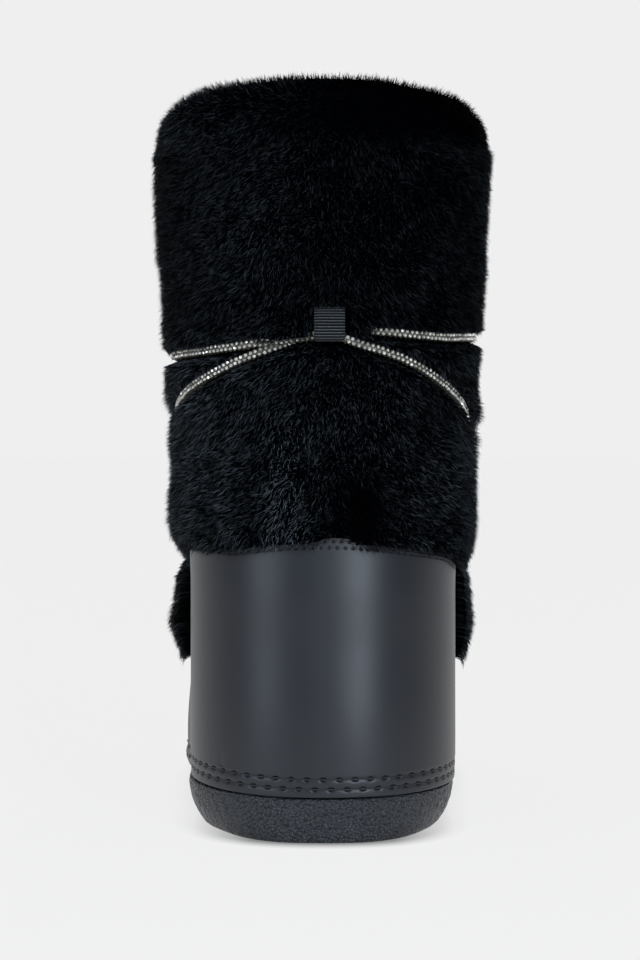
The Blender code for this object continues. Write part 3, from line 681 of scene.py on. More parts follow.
def lengths(path):
    """How far along a path each of its points lies."""
    return np.concatenate([[0.0], np.cumsum(np.linalg.norm(np.diff(path, axis=0), axis=1))])


def make_piece(name, points, faces, finish, nodes, uv=None):
    """A finished piece from points in millimetres, faces of one size and a map with a place per point."""
    points = np.asarray(points, dtype=np.float32).reshape(-1, 3)
    corners = np.ascontiguousarray(faces, dtype=np.int32)
    mesh = bpy.data.meshes.new(name)
    mesh.vertices.add(len(points))
    mesh.vertices.foreach_set("co", (points * MM).ravel())
    mesh.loops.add(corners.size)
    mesh.loops.foreach_set("vertex_index", corners.ravel())
    mesh.polygons.add(len(corners))
    mesh.polygons.foreach_set("loop_start", np.arange(0, corners.size, corners.shape[1], dtype=np.int32))
    if uv is not None:
        layer = mesh.uv_layers.new(name="surface")
        layer.uv.foreach_set("vector", np.float32(uv).reshape(-1, 2)[corners.ravel()].ravel())
    mesh.update(calc_edges=True)
    mesh.validate()
    mesh.shade_smooth()
    mesh.materials.append(finish.material)
    piece = bpy.data.objects.new(name, mesh)
    bpy.context.scene.collection.objects.link(piece)
    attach(piece, BODY)
    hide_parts(*nodes)
    return piece


def make_sheet(name, points, finish, nodes, uv=None, ring=False, loop=False):
    """A finished piece from one grid of points."""
    return make_piece(name, points, grid_faces(*points.shape[:2], ring=ring, loop=loop), finish, nodes, uv)


def linear(code):
    """An sRGB hex colour as linear red, green, blue and alpha."""
    values = np.array([int(code[at:at + 2], 16) for at in (1, 3, 5)]) / 255.0
    values = np.where(values <= 0.04045, values / 12.92, ((values + 0.055) / 1.055) ** 2.4)
    return (*values.tolist(), 1.0)


def add(tree, kind, settings=None, **sockets):
    """Add a node with settings; a socket, named with _ for each space, takes a value or another's output."""
    made = tree.nodes.new(kind)
    for name, value in (settings or {}).items():
        setattr(made, name, value)
    names = {socket.name.replace(" ", "_"): socket for socket in reversed(made.inputs) if socket.enabled}
    for name, value in sockets.items():
        if isinstance(value, bpy.types.NodeSocket):
            tree.links.new(value, names[name])
        else:
            names[name].default_value = value
    return made


def new_material(name, **sockets):
    """A material with its shader's plain values set; returns it with its tree and shader."""
    material = bpy.data.materials.new(name)
    material.use_nodes = True
    tree = material.node_tree
    tree.nodes.clear()
    shader = add(tree, "ShaderNodeBsdfPrincipled", **sockets)
    add(tree, "ShaderNodeOutputMaterial", Surface=shader.outputs["BSDF"])
    return material, tree, shader


def tint(tree, shader, share, dark, light):
    """Colour a shader between two sRGB codes by a share."""
    colour = add(tree, "ShaderNodeMix", {"data_type": "RGBA"}, Factor=share, A=linear(dark), B=linear(light))
    tree.links.new(colour.outputs["Result"], shader.inputs["Base Color"])


def roughen(tree, shader, share, least, most):
    """Set a shader's roughness between two values by a share."""
    rough = add(tree, "ShaderNodeMapRange", Value=share, To_Min=least, To_Max=most)
    tree.links.new(rough.outputs["Result"], shader.inputs["Roughness"])


def emboss(tree, shader, height, strength, depth, settings=None, **sockets):
    """Bump a shader's normal by a height that is at most this many millimetres."""
    bump = add(tree, "ShaderNodeBump", settings, Height=height, Strength=strength, Distance=depth * MM,
               **sockets)
    tree.links.new(bump.outputs["Normal"], shader.inputs["Normal"])


def on_object(tree):
    """Places in the object's own frame."""
    return add(tree, "ShaderNodeTexCoord").outputs["Object"]


def on_map(tree):
    """Places on the piece's own map."""
    return add(tree, "ShaderNodeUVMap", {"uv_map": "surface"}).outputs["UV"]


def grain(tree, size, detail, **sockets):
    """Noise whose grains are about this many millimetres across."""
    noise = add(tree, "ShaderNodeTexNoise", Vector=on_object(tree), Scale=1 / (size * MM), Detail=detail,
                **sockets)
    return noise.outputs["Fac"]


def fibre_finish():
    """Acrylic faux-fur fibre, knitted and brushed: black, with painted glints on some hairs, brightest at tips.
    """
    material, tree, shader = new_material("brushed_acrylic_fur", Roughness=0.5, Specular_IOR_Level=0.04)
    parts = add(tree, "ShaderNodeSeparateXYZ", Vector=on_map(tree))
    # Painted glint and painted nap shade: the map's first value times its way from root to tip picks the colour
    # between black and a grey-blue highlight
    share = add(tree, "ShaderNodeMath", {"operation": "MULTIPLY"})
    tree.links.new(parts.outputs["X"], share.inputs[0])
    tree.links.new(parts.outputs["Y"], share.inputs[1])
    tint(tree, shader, share.outputs["Value"], "#010102", "#78838B")
    return Finish(material, "faux_fur")


def undercoat_shade_finish():
    """Knitted backing with short underfur, near black and without gloss as painted shade between the hairs."""
    material, tree, shader = new_material("knitted_underfur", Roughness=0.95, Specular_IOR_Level=0.0)
    tufts = grain(tree, 1.2, 3.0)
    tint(tree, shader, tufts, "#000001", "#020305")
    emboss(tree, shader, tufts, 0.6, 0.5)
    return Finish(material, "faux_fur")


def coated_finish():
    """Coated leather, smooth-rolled with a satin topcoat: dark slate, soft highlights, a faint fine grain."""
    material, tree, shader = new_material("satin_coated_leather", IOR=1.5, Specular_IOR_Level=0.44)
    tint(tree, shader, grain(tree, 34.0, 2.0), "#16191F", "#1C2027")
    pores = grain(tree, 0.7, 2.0)
    roughen(tree, shader, pores, 0.35, 0.45)
    emboss(tree, shader, pores, 0.12, 0.12)
    return Finish(material, "coated_leather")


def rubber_finish():
    """Rubber moulded in a spark-eroded tool: dull charcoal with a pebble grain that glints in points, its pits
    painted darker than its tops as painted shade.
    """
    material, tree, shader = new_material("moulded_pebble_rubber", Specular_IOR_Level=0.34)
    cells = add(tree, "ShaderNodeTexVoronoi", {"feature": "F1"}, Vector=on_object(tree), Scale=1 / (1.1 * MM))
    pebble = cells.outputs["Distance"]
    grit = grain(tree, 0.6, 2.0)
    # Painted shade: darker towards the edge of each pebble, where its bump sinks
    tint(tree, shader, pebble, "#3C4046", "#17191C")
    roughen(tree, shader, grit, 0.2, 0.5)
    fine = add(tree, "ShaderNodeBump", Height=grit, Strength=0.8, Distance=0.3 * MM)
    emboss(tree, shader, pebble, 1.0, 0.95, {"invert": True}, Normal=fine.outputs["Normal"])
    return Finish(material, "rubber")


def stone_finish():
    """Cut glass with a foil back: each facet mirrors another part of the room; its colour is painted, a
    slightly warm white on stones that face out as painted reflection, dim olive on the others as painted shade.
    """
    material, tree, shader = new_material("foil_backed_glass", Metallic=0.45, Roughness=0.14)
    parts = add(tree, "ShaderNodeSeparateXYZ", Vector=on_map(tree))
    tint(tree, shader, parts.outputs["X"], "#4E4B3F", "#FFFDF4")
    return Finish(material, "stone_cord")


def tube_finish():
    """Tube of fine metal mesh: dull grey-olive wires with dark gaps."""
    material, tree, shader = new_material("metal_mesh_tube", Metallic=0.7, Roughness=0.5)
    weave = add(tree, "ShaderNodeTexChecker", Vector=on_map(tree), Scale=1.0, Color1=linear("#6B6A5F"),
                Color2=linear("#23231F"))
    tree.links.new(weave.outputs["Color"], shader.inputs["Base Color"])
    return Finish(material, "stone_cord")


def ribbon_finish():
    """Grosgrain ribbon, polyester woven in thick cross ribs: black, with a thin painted highlight on each rib.
    """
    material, tree, shader = new_material("woven_grosgrain", Roughness=0.7, Specular_IOR_Level=0.2)
    yarn = add(tree, "ShaderNodeTexNoise", Vector=on_map(tree), Scale=2.0, Detail=2.0)
    ribs = add(tree, "ShaderNodeTexWave", Vector=on_map(tree), Scale=math.pi / 10, Phase_Offset=math.pi)
    # Painted highlight: a thin grey line on each rib, its strength varied by the yarn noise
    painted_rib_light = add(tree, "ShaderNodeMapRange", Value=ribs.outputs["Fac"], From_Min=0.86, From_Max=1.0,
                To_Min=0.0, To_Max=yarn.outputs["Fac"])
    tint(tree, shader, painted_rib_light.outputs["Result"], "#020303", "#7C858D")
    return Finish(material, "ribbon")


def thread_finish():
    """Bonded polyester thread, twisted: black, with a painted highlight in bands along its slanting plies."""
    material, tree, shader = new_material("twisted_thread", Roughness=0.5)
    plies = add(tree, "ShaderNodeTexWave", {"bands_direction": "DIAGONAL"}, Vector=on_map(tree), Scale=2.5)
    tint(tree, shader, plies.outputs["Fac"], "#0B0C0E", "#1F2125")
    emboss(tree, shader, plies.outputs["Fac"], 0.5, 0.1)
    return Finish(material, "coated_leather")


def lining_finish():
    """Brushed knit lining: matt black with a short nap that lies in small swirls."""
    material, tree, shader = new_material("brushed_knit_lining", Roughness=0.9, Sheen_Weight=0.2)
    swirl = grain(tree, 2.4, 5.0, Distortion=1.2)
    tint(tree, shader, swirl, "#0C0D0F", "#26282C")
    emboss(tree, shader, swirl, 0.5, 0.5)
    return Finish(material, "lining")


def eyelet_finish():
    """Brass eyelet, pressed and blackened: dark gunmetal, brighter where handling has worn the rim."""
    material, tree, shader = new_material("blackened_brass", Metallic=1.0)
    wear = grain(tree, 1.5, 3.0)
    tint(tree, shader, wear, "#303236", "#5A5C60")
    roughen(tree, shader, wear, 0.2, 0.4)
    return Finish(material, "eyelet_metal")


def steps_of(grid, ring):
    """Steps from each point of a grid to the next along its row and up its column."""
    ahead = np.roll(grid, -1, axis=1) - grid
    if not ring:
        ahead[:, -1] = ahead[:, -2]
    upward = np.diff(grid, axis=0)
    return ahead, np.concatenate([upward, upward[-1:]])


def grow_fur(name, bed, seed, finish, nodes, rows=(0.0, 1.0)):
    """Hairs as bent slivers: a root, two middle points a hair's width apart, and a tip.

    Roots are spread evenly over the pile's face between two shares of its rows. A hair's tip lies on that face
    a comb's length further along the nap, its middle halfway there and lower. Where fewer are kept they are
    wider. Between its root's depth and its tip's, the depth is shared, so hairs hang over a dent before they
    dive into it.
    """
    random = np.random.default_rng(seed)
    ahead, upward = steps_of(bed.backing + bed.normal * bed.depth[..., None], bed.ring)
    area = np.linalg.norm(np.cross(ahead, upward), axis=-1) * bed.rooted * bed.kept
    share = np.linspace(0.0, 1.0, len(area))
    area *= ((share >= rows[0]) & (share < rows[1]))[:, None]
    area[-1] = 0.0
    if not bed.ring:
        area[:, -1] = 0.0
    count = int(area.sum() * HAIR_DENSITY)
    cell = np.searchsorted(np.cumsum(area), random.random(count) * area.sum())
    row, column = np.divmod(cell, area.shape[1])
    row = row + random.random(count)
    column = column + random.random(count)

    def at_root(grid):
        """Values of a grid at the hairs' roots."""
        return between(grid, row, column, bed.ring)

    reach = random.normal(1.0, REACH_SPREAD, count).clip(0.6, 1.5)
    down = at_root(bed.down) + random.normal(0.0, DOWN_SPREAD, count)
    side = at_root(bed.side) + random.normal(0.0, SIDE_SPREAD, count)
    row_reach = -reach * down / np.linalg.norm(at_root(upward), axis=1)
    column_reach = reach * side / np.linalg.norm(at_root(ahead), axis=1)
    lift = random.normal(LIFT, LIFT_SPREAD, count).clip(0.75, 1.3)
    root_depth = at_root(bed.depth)
    spots = []
    for bend in BENDS:
        at = row + bend.travel * row_reach, column + bend.travel * column_reach, bed.ring
        depth = bend.kept * root_depth + (1.0 - bend.kept) * between(bed.depth, *at)
        normal = unit(between(bed.normal, *at))
        spots.append(between(bed.backing, *at) + normal * (bend.height * lift * depth)[:, None])
    root, middle, tip = spots
    along = unit(tip - middle)
    flat = unit(np.cross(along, unit(at_root(bed.normal))))
    roll = random.normal(0.0, ROLL_SPREAD, count)[:, None]
    # Painted glint of each hair: a random share, most often near 0, of the highlight colour; bright ones are
    # wider
    tone = random.random(count) ** GLINTS
    half = HAIR_WIDTH / 2 * (random.uniform(0.7, 1.2, count) + 0.5 * tone)
    half = (half / at_root(bed.kept) ** 0.7)[:, None]
    half = half * (np.cos(roll) * flat + np.sin(roll) * np.cross(flat, along))
    points = np.stack([root, middle + half, middle - half, tip], axis=1)
    faces = repeat_faces(np.array([[0, 1, 2], [1, 3, 2]]), count, 4)
    # Map: the painted glint times the painted nap shade, and the way from root to tip
    uv = np.stack([np.repeat(tone * at_root(bed.shade), 4), np.tile([0.0, 0.4, 0.4, 1.0], count)], axis=1)
    make_piece(name, points, faces, finish, nodes, uv)


def lay_undercoat(name, bed, cover, finish, nodes, first=0):
    """Dark skin under the hairs, painted shade between them: a set share of the pile's depth times its cover,
    turned in at both edges.
    """
    backing = bed.backing[first:]
    points = (bed.backing + bed.normal * (UNDERCOAT * cover * bed.depth)[..., None])[first:]
    points = np.concatenate([backing[:1], points, backing[-1:]])[:, ::2]
    make_sheet(name, points, finish, nodes, ring=bed.ring)


def kept_hairs(turn):
    """Share of the hairs that is laid: all of them round the heel, fewer from the sides to the toe."""
    return 1.0 - (1.0 - TOE_HAIRS) * blend(*TOE_TURNS, np.abs(wrap(turn)))


def comb_side(turn):
    """How far the nap leans sideways: to the left over the heel's left half, hardly at all on the right."""
    turn = wrap(turn)
    back = 1.0 - blend(100.0, 150.0, np.abs(turn))
    return back * (-1.0 * (1.0 - blend(-8.0, 16.0, turn)) + 0.15 * blend(10.0, 40.0, turn))


def spots_at(spots, turn, height):
    """Sum of soft spots, each falling off from its middle with the square of the way in its half sizes."""
    total = 0.0
    for spot in spots:
        away_turn = (turn - spot.turn) / spot.half_turn
        away_height = (height - spot.height) / spot.half_height
        total = total + spot.gain * np.exp(-(away_turn**2) - away_height**2)
    return total


def painted_nap_shade(turn, height):
    """Painted light and shade on the fur's hairs: most at the lower left, little above, in painted strokes."""
    turn = wrap(turn)
    side = blend(*NAP_RIGHT, turn) * (1.0 - blend(*NAP_TOE, np.abs(turn)))
    shade = 1.0 - RIGHT_LOSS * side - blend(*NAP_UPPER, height) * (UPPER_LOSS - UPPER_RIGHT * side)
    dark = COLLAR_LOSS * blend(*COLLAR_TURNS, turn) * (0.6 + 0.4 * side)
    shade = shade + blend(*NAP_COLLAR, height) * (COLLAR_LIGHT - dark - shade)
    return np.clip(shade + spots_at(PAINTED_STROKES, turn, height), LEAST_LIGHT, None)


def hem_round(rise):
    """Share of the pile near a hem: it grows from the hem up as a quarter circle does."""
    share = 1.0 - np.clip(rise / HEM_ROUND, 0.0, 1.0)
    return HEM_SHARE + (1.0 - HEM_SHARE) * np.sqrt(1.0 - share**2)


def hem_nap(rise):
    """How much further hairs hang near a hem."""
    return HEM_NAP + (1.0 - HEM_NAP) * blend(0.0, NAP_RISE, rise)


def backing_out(rise):
    """How far out a fur's backing lies: on the upper above its hem, over the panel below it."""
    return FUR_BACK + (PANEL + 2 * FIT - FUR_BACK) * (1.0 - blend(-1.0, 0.0, rise))


def make_shaft_fur(fibre, underfur):
    """Fur of the shaft, from locks over the counter to the collar seam."""
    random = np.random.default_rng(11)
    turns = np.arange(-HALF_TURN, HALF_TURN, BED_STEP)
    edge = hem_height(turns)
    low = edge - HEM_REACH
    heights = low + (COLLAR_SEAM + 3.0 - low) * np.linspace(0.0, 1.0, SHAFT_ROWS)[:, None]
    back_out = backing_out(heights - edge)
    depth = fur_out(turns, heights) * hem_round(heights - edge) - back_out
    shape = heights.shape
    bare = parted(turns)
    rise = heights - edge - PART_RISE * bare
    rooted = blend(-0.8, 0.4, rise)
    lean = 0.6 * soft_noise(random, shape, 2.0, 2.0) + 0.4 * soft_noise(random, shape, 9.0, 9.0)
    drop = HAIR_REACH + 0.5 * soft_noise(random, shape, 2.0, 2.0) + 0.3 * soft_noise(random, shape, 10.0, 8.0)
    drop = drop * hem_nap(rise) * (1.0 - 0.6 * bare * blend(12.0, 2.0, rise))
    apart = np.sign(wrap(turns) - PART_TURN) * bare * blend(40.0, 0.0, rise)
    side = comb_side(turns) + lean + 1.6 * apart
    depth = depth * (1.0 + 0.05 * soft_noise(random, shape, 4.0, 4.0) + spots_at(PUFFS, wrap(turns), heights))
    backing = place(turns, heights, back_out)
    normal = unit(place(turns, heights, back_out + 1.0) - backing)
    kept = kept_hairs(turns) + 0 * heights
    bed = FurBed(backing, normal, depth, rooted, kept, drop, side, painted_nap_shade(turns, heights), True)
    grow_fur("fur_shaft_lower", bed, 21, fibre, ["fur_shaft"], (0.0, 0.5))
    grow_fur("fur_shaft_upper", bed, 22, fibre, ["fur_shaft"], (0.5, 1.0))
    lay_undercoat("fur_shaft_underfur", bed, blend(0.0, 2.5, rise), underfur, ["fur_shaft"], 5)


def make_vamp_fur(fibre, underfur):
    """Fur over instep and toe: it hangs over the mudguard and goes in under the shaft's hem."""
    random = np.random.default_rng(12)
    turns = np.arange(COUNTER_TURN + SEAM_GAP, FULL_TURN - COUNTER_TURN, BED_STEP)
    edge = guard_height(turns) + FIT
    top = seam_height(turns) + 1.5
    low_station = station_at(turns, edge - HEM_REACH)
    shares = np.linspace(0.0, 1.0, VAMP_ROWS)[:, None]
    stations = low_station + (station_at(turns, top) - low_station) * shares
    heights = bare_point(turns, stations)[..., 2]
    rise = heights - edge
    back_out = backing_out(rise)
    from_start = turns - turns[0]
    to_end = turns[-1] - turns
    from_end = np.minimum(from_start, to_end)
    pile = PILE * (0.85 + 0.15 * blend(0.0, 6.0, from_end)) * hem_round(rise)
    flap = bell(heights, *FLAP) * blend(14.0, 4.0, from_end)
    pile = pile * (1.0 + flap * np.where(turns > HALF_TURN, LEFT_FLAP, RIGHT_FLAP))
    depth = (TUCKED_PILE + (pile - TUCKED_PILE) * blend(1.5, 9.0, top - heights)) - back_out
    shape = heights.shape
    rooted = blend(0.0, 0.6, rise)
    lean = 0.9 * soft_noise(random, shape, 3.0, 3.0) - blend(16.0, 0.0, from_start) + blend(16.0, 0.0, to_end)
    drop = (HAIR_REACH + 1.4 * np.abs(soft_noise(random, shape, 2.5, 2.5))) * hem_nap(rise)
    # Painted shade on the vamp's fur: its hairs' colour is dimmed evenly
    shade = np.full(shape, VAMP_LIGHT)
    backing = upper_point(turns, stations, back_out)
    normal = unit(upper_point(turns, stations, back_out + 1.0) - backing)
    bed = FurBed(backing, normal, depth, rooted, kept_hairs(turns) + 0 * heights, drop, lean, shade, False)
    grow_fur("fur_vamp_hairs", bed, 23, fibre, ["fur_vamp"])
    lay_undercoat("fur_vamp_underfur", bed, rooted, underfur, ["fur_vamp"], 4)


def collar_swell(turn):
    """How full the collar's roll is: fuller left of the back and at the right, thinner at both sides."""
    turn = wrap(turn)
    full = 1.0
    for swell in SWELLS:
        full = full + swell.gain * bell(turn, swell.turn, swell.half)
    return full - span(np.abs(turn), *THIN_TURNS) * np.where(turn < 0.0, LEFT_THIN, RIGHT_THIN)


def make_collar_fur(fibre, underfur):
    """Fur roll over the rim: up the outside, round over the wall's edge and down the inside."""
    random = np.random.default_rng(13)
    turns = np.arange(-HALF_TURN, HALF_TURN, BED_STEP)
    rim = rim_height(turns)
    centre = -WALL / 2
    radius = WALL / 2 + FUR_BACK
    climb = np.linspace(0.0, 1.0, 16)[:, None]
    angle = np.linspace(0.0, math.pi, 26)[1:-1, None]
    fall = np.linspace(0.0, COLLAR_FALL, 14)[:, None]
    seam = COLLAR_SEAM - 1.0
    heights = np.concatenate([seam + (rim - seam) * climb, rim + radius * np.sin(angle), rim - fall])
    outs = np.concatenate([0 * climb + FUR_BACK, centre + radius * np.cos(angle), 0 * fall - WALL - FUR_BACK])
    rows = len(heights)
    shape = heights.shape
    inside = blend(len(climb), rows - len(fall), np.arange(rows))[:, None]
    depth = np.full(shape, PILE - FUR_BACK) * (1.0 - 0.42 * blend(0.45, 1.0, inside))
    depth = depth * (1.0 + 0.05 * soft_noise(random, shape, 4.0, 5.0))
    depth = depth * (1.0 + blend(-7.0, 1.0, heights - rim) * (collar_swell(turns) - 1.0))
    nap = 1.0 - blend(0.0, 0.3, inside) - 1.2 * blend(0.55, 1.0, inside)
    drop = HAIR_REACH * nap + 0.6 * soft_noise(random, shape, 3.0, 3.0)
    side = 0.5 * comb_side(turns) + 0.8 * soft_noise(random, shape, 3.0, 3.0)
    wander = 1.6 * soft_noise(random, (1, len(turns)), 1.0, 2.5)
    rooted = blend(-2.0, 2.0, heights - COLLAR_SEAM - wander)
    backing = place(turns, heights, outs)
    across = np.roll(backing, -1, axis=1) - np.roll(backing, 1, axis=1)
    normal = unit(np.cross(across, np.gradient(backing, axis=0)))
    kept = kept_hairs(turns) * (1.0 - 0.5 * blend(0.6, 1.0, inside))
    bed = FurBed(backing, normal, depth, rooted, kept, drop, side, painted_nap_shade(turns, heights), True)
    grow_fur("fur_collar_hairs", bed, 24, fibre, ["fur_collar"])
    lay_undercoat("fur_collar_underfur", bed, 1.1 * rooted, underfur, ["fur_collar"])


def rand_row(turn, rise):
    """Height of a stitch row on the rand, this far over the sole at the back."""
    return SOLE_HEIGHT + rise + row_climb(turn)


def counter_row(turn, rise):
    """Height of a stitch row on the counter, this far over the hem's line."""
    return hem_height(turn) - HEM_RISE + rise


def guard_row(turn, drop):
    """Height of a stitch row on the mudguard, this far under its upper edge."""
    return guard_height(turn) - drop


def stitch_row(turns, line, offset, pitch):
    """Turns and heights at even steps along a line on the upper, found from its length."""
    length = lengths(place(turns, line(turns, offset), PANEL + FIT))
    steps = np.linspace(0.0, length[-1], round(length[-1] / pitch) + 1)
    spots = np.interp(steps, length, turns)
    return spots, line(spots, offset)


def holes(turn, height, hole_turns, hole_heights, along, up, depth):
    """Oval dents: how deep the nearest hole of a seam is here, falling off with the distance squared."""
    nearest = np.clip(np.searchsorted(hole_turns, turn), 1, len(hole_turns) - 1)
    nearest = nearest - (turn - hole_turns[nearest - 1] < hole_turns[nearest] - turn)
    away = place(turn, height, PANEL) - place(hole_turns, hole_heights, PANEL)[nearest]
    level = np.linalg.norm(away[..., :2], axis=-1) / along
    return depth * np.exp(-(level**2) - (away[..., 2] / up) ** 2)


def edge_round(distance, reach):
    """A rounded edge: a quarter circle from 0 at the edge to 1 at its reach."""
    share = 1.0 - np.clip(distance / reach, 0.0, 1.0)
    return np.sqrt(1.0 - share**2)


def panel_points(turns, low, high, shares, start, thick, relief, low_round=EDGE_ROUND, high_round=EDGE_ROUND,
                 end_round=END_ROUND):
    """Points of a panel's face between two height lines: its edges turn in, and relief is taken off its face.

    Where counter and mudguard meet, their turned edges stand up lower down, most on the left, with a lump at
    the rand.
    """
    low_station = station_at(turns, low)
    stations = low_station + (station_at(turns, high) - low_station) * shares[:, None]
    heights = bare_point(turns, stations)[..., 2]
    ends = np.minimum(np.abs(turns - turns[0]), np.abs(turns - turns[-1]))
    rise = np.ones(heights.shape)
    for distance, reach in ((heights - low, low_round), (high - heights, high_round), (ends, end_round)):
        if reach:
            rise = np.minimum(rise, edge_round(distance, reach))
    face = thick - relief(turns + 0 * heights, heights)
    side = wrap(turns)
    near = bell(np.abs(side), COUNTER_TURN, RIDGE_HALF) * np.where(side < 0.0, 1.0, RIDGE_RIGHT)
    ridge = RIDGE_RISE * blend(*RIDGE_HEIGHTS, heights) * (0.7 + 0.3 * blend(*RIDGE_FOOT, heights))
    face = face + near * (ridge + LUMP_RISE * bell(heights, *LUMP))
    return upper_point(turns, stations, start + face * rise)


def sew(name, rows, out, knot, finish, nodes):
    """Threads of a seam: thin tubes from hole to hole, thicker where they dive in at both ends.

    Each row is of turns and heights. The tube's radius and depth fall off from the ends with the way squared.
    """
    share = np.linspace(0.0, 1.0, THREAD_STEPS)[:, None]
    starts = np.concatenate([np.stack([line[:-1] for line in row]) for row in rows], axis=1)
    ends = np.concatenate([np.stack([line[1:] for line in row]) for row in rows], axis=1)
    turn = starts[0] + (ends[0] - starts[0]) * share
    height = starts[1] + (ends[1] - starts[1]) * share
    near = bell(share, 0.0, KNOT_SHARE) + bell(1.0 - share, 0.0, KNOT_SHARE)
    radius = (THREAD_RADIUS + (knot - THREAD_RADIUS) * near)[..., None]
    deep = out - 0.6 * knot * near
    path = place(turn, height, deep)
    outward = unit(place(turn, height, deep + 1.0) - path)
    across = np.cross(unit(np.gradient(path, axis=0)), outward)
    angle = np.arange(THREAD_SIDES)[:, None, None, None] * 2.0 * math.pi / THREAD_SIDES
    points = path + radius * (np.cos(angle) * across + 0.7 * np.sin(angle) * outward)
    points = np.moveaxis(points, 2, 0)
    count, sides, steps = points.shape[:3]
    faces = repeat_faces(grid_faces(sides, steps, loop=True)[:, ::-1], count, sides * steps)
    uv = np.broadcast_to(grid_map(sides, steps), (count, sides, steps, 2))
    make_piece(name, points, faces, finish, nodes, uv)


def make_rand(coated, thread):
    """Stitched strip round the foot of the upper: two rows of holes in shallow troughs, and their threads."""
    turns = np.arange(-HALF_TURN, HALF_TURN, RAND_COLUMN)
    low = SOLE_HEIGHT + FIT + sole_climb(turns)
    rows = [stitch_row(np.append(turns, HALF_TURN), rand_row, rise, RAND_STITCH) for rise in RAND_ROWS]

    def relief(turn, height):
        """Troughs along both rows and a hole at each stitch's end."""
        gone = np.zeros(turn.shape)
        for row, rise in zip(rows, RAND_ROWS):
            gone += RAND_TROUGH * bell(height - SOLE_HEIGHT - rise, row_climb(turn), TROUGH_HALF)
            gone += holes(turn, height, *row, HOLE_ALONG, HOLE_UP, HOLE_DEPTH)
        return gone

    points = panel_points(turns, low, rand_height(turns), np.linspace(0.0, 1.0, RAND_GRID), FIT, PANEL, relief,
                          low_round=0.6, high_round=0.0, end_round=0.0)
    make_sheet("rand_strip", points, coated, ["rand"], ring=True)
    sew("rand_threads", rows, FIT + PANEL - RAND_SINK, KNOT_RADIUS, thread, ["rand"])


def make_counter(coated, thread):
    """Smooth panel round the heel, with two fine rows of stitches along its top and one down each end."""
    spot = PART_TURN - 2.0 * PART_HALF, PART_TURN + 2.0 * PART_HALF
    turns = np.concatenate([np.linspace(-COUNTER_TURN, spot[0], 140)[:-1], np.linspace(*spot, 126),
                            np.linspace(spot[1], COUNTER_TURN, 110)[1:]])
    high = hem_height(turns) + PART_RISE * parted(turns) + HEM_TUCK
    fine = np.linspace(-COUNTER_TURN + 2.0, COUNTER_TURN - 2.0, 400)
    rows = [stitch_row(fine, counter_row, rise, COUNTER_STITCH) for rise in COUNTER_ROWS]

    def relief(turn, height):
        """A hole at each stitch's end, and a crease where the panel is pulled over the heel."""
        crease = bell(turn - CREASE_TURN + CREASE_SLANT * (height - CREASE_HEIGHT), 0.0, CREASE_HALF)
        gone = CREASE_DEPTH * crease * blend(*CREASE_END, height)
        for row in rows:
            gone += holes(turn, height, *row, *COUNTER_HOLE)
        return gone

    shares = np.concatenate([np.linspace(0.0, 0.88, 26, endpoint=False), np.linspace(0.88, 1.0, 44)])
    points = panel_points(turns, rand_height(turns) - RAND_LAP, high, shares, FIT, PANEL, relief, low_round=0.0)
    make_sheet("heel_counter_panel", points, coated, ["heel_counter"])
    heights = np.arange(RAND_BACK + 6.0, SEAM_BACK - SEAM_DROP - 1.0, EDGE_STITCH)
    edges = [(np.full(heights.shape, sign * (COUNTER_TURN - EDGE_INSET)), heights) for sign in (-1.0, 1.0)]
    sew("counter_threads", rows + edges, FIT + PANEL - THREAD_SINK, COUNTER_KNOT, thread, ["heel_counter"])


def make_mudguard(coated, thread):
    """The coated material carried round the forefoot, sewn along its hidden top."""
    turns = np.arange(COUNTER_TURN + SEAM_GAP, FULL_TURN - COUNTER_TURN, GUARD_COLUMN)

    def relief(turn, height):
        """A trough along the top seam."""
        return GUARD_TROUGH * bell(height - guard_height(turn) + GUARD_SEAM, 0.0, TROUGH_HALF)

    shares = np.linspace(0.0, 1.0, GUARD_ROWS)
    points = panel_points(turns, rand_height(turns) - RAND_LAP, guard_height(turns), shares, FIT, PANEL, relief,
                          low_round=0.0)
    make_sheet("mudguard_panel", points, coated, ["mudguard"])
    fine = np.linspace(turns[0] + 1.0, turns[-1] - 1.0, 500)
    rows = [stitch_row(fine, guard_row, GUARD_SEAM, COUNTER_STITCH)]
    sew("mudguard_threads", rows, FIT + PANEL - THREAD_SINK, FINE_KNOT, thread, ["mudguard"])


def foot_outline(turns, out):
    """Outline of the foot at the sole's height, this far out of the upper, as x and y."""
    turns, out = np.broadcast_arrays(turns, out)
    return upper_point(turns, station_at(turns, SOLE_HEIGHT), out)[..., :2]


def even_rows(count):
    """Turns from heel to toe whose places along the foot are nearly even steps, closer at both ends."""
    half_turns = np.linspace(0.0, HALF_TURN, 2000)
    along = foot_outline(half_turns, 0.0)[:, 1]
    share = np.linspace(0.0, 1.0, count)
    share = share + END_CLOSER * (0.5 - 0.5 * np.cos(math.pi * share) - share)
    return np.interp(along[0] + (along[-1] - along[0]) * share, along, half_turns)


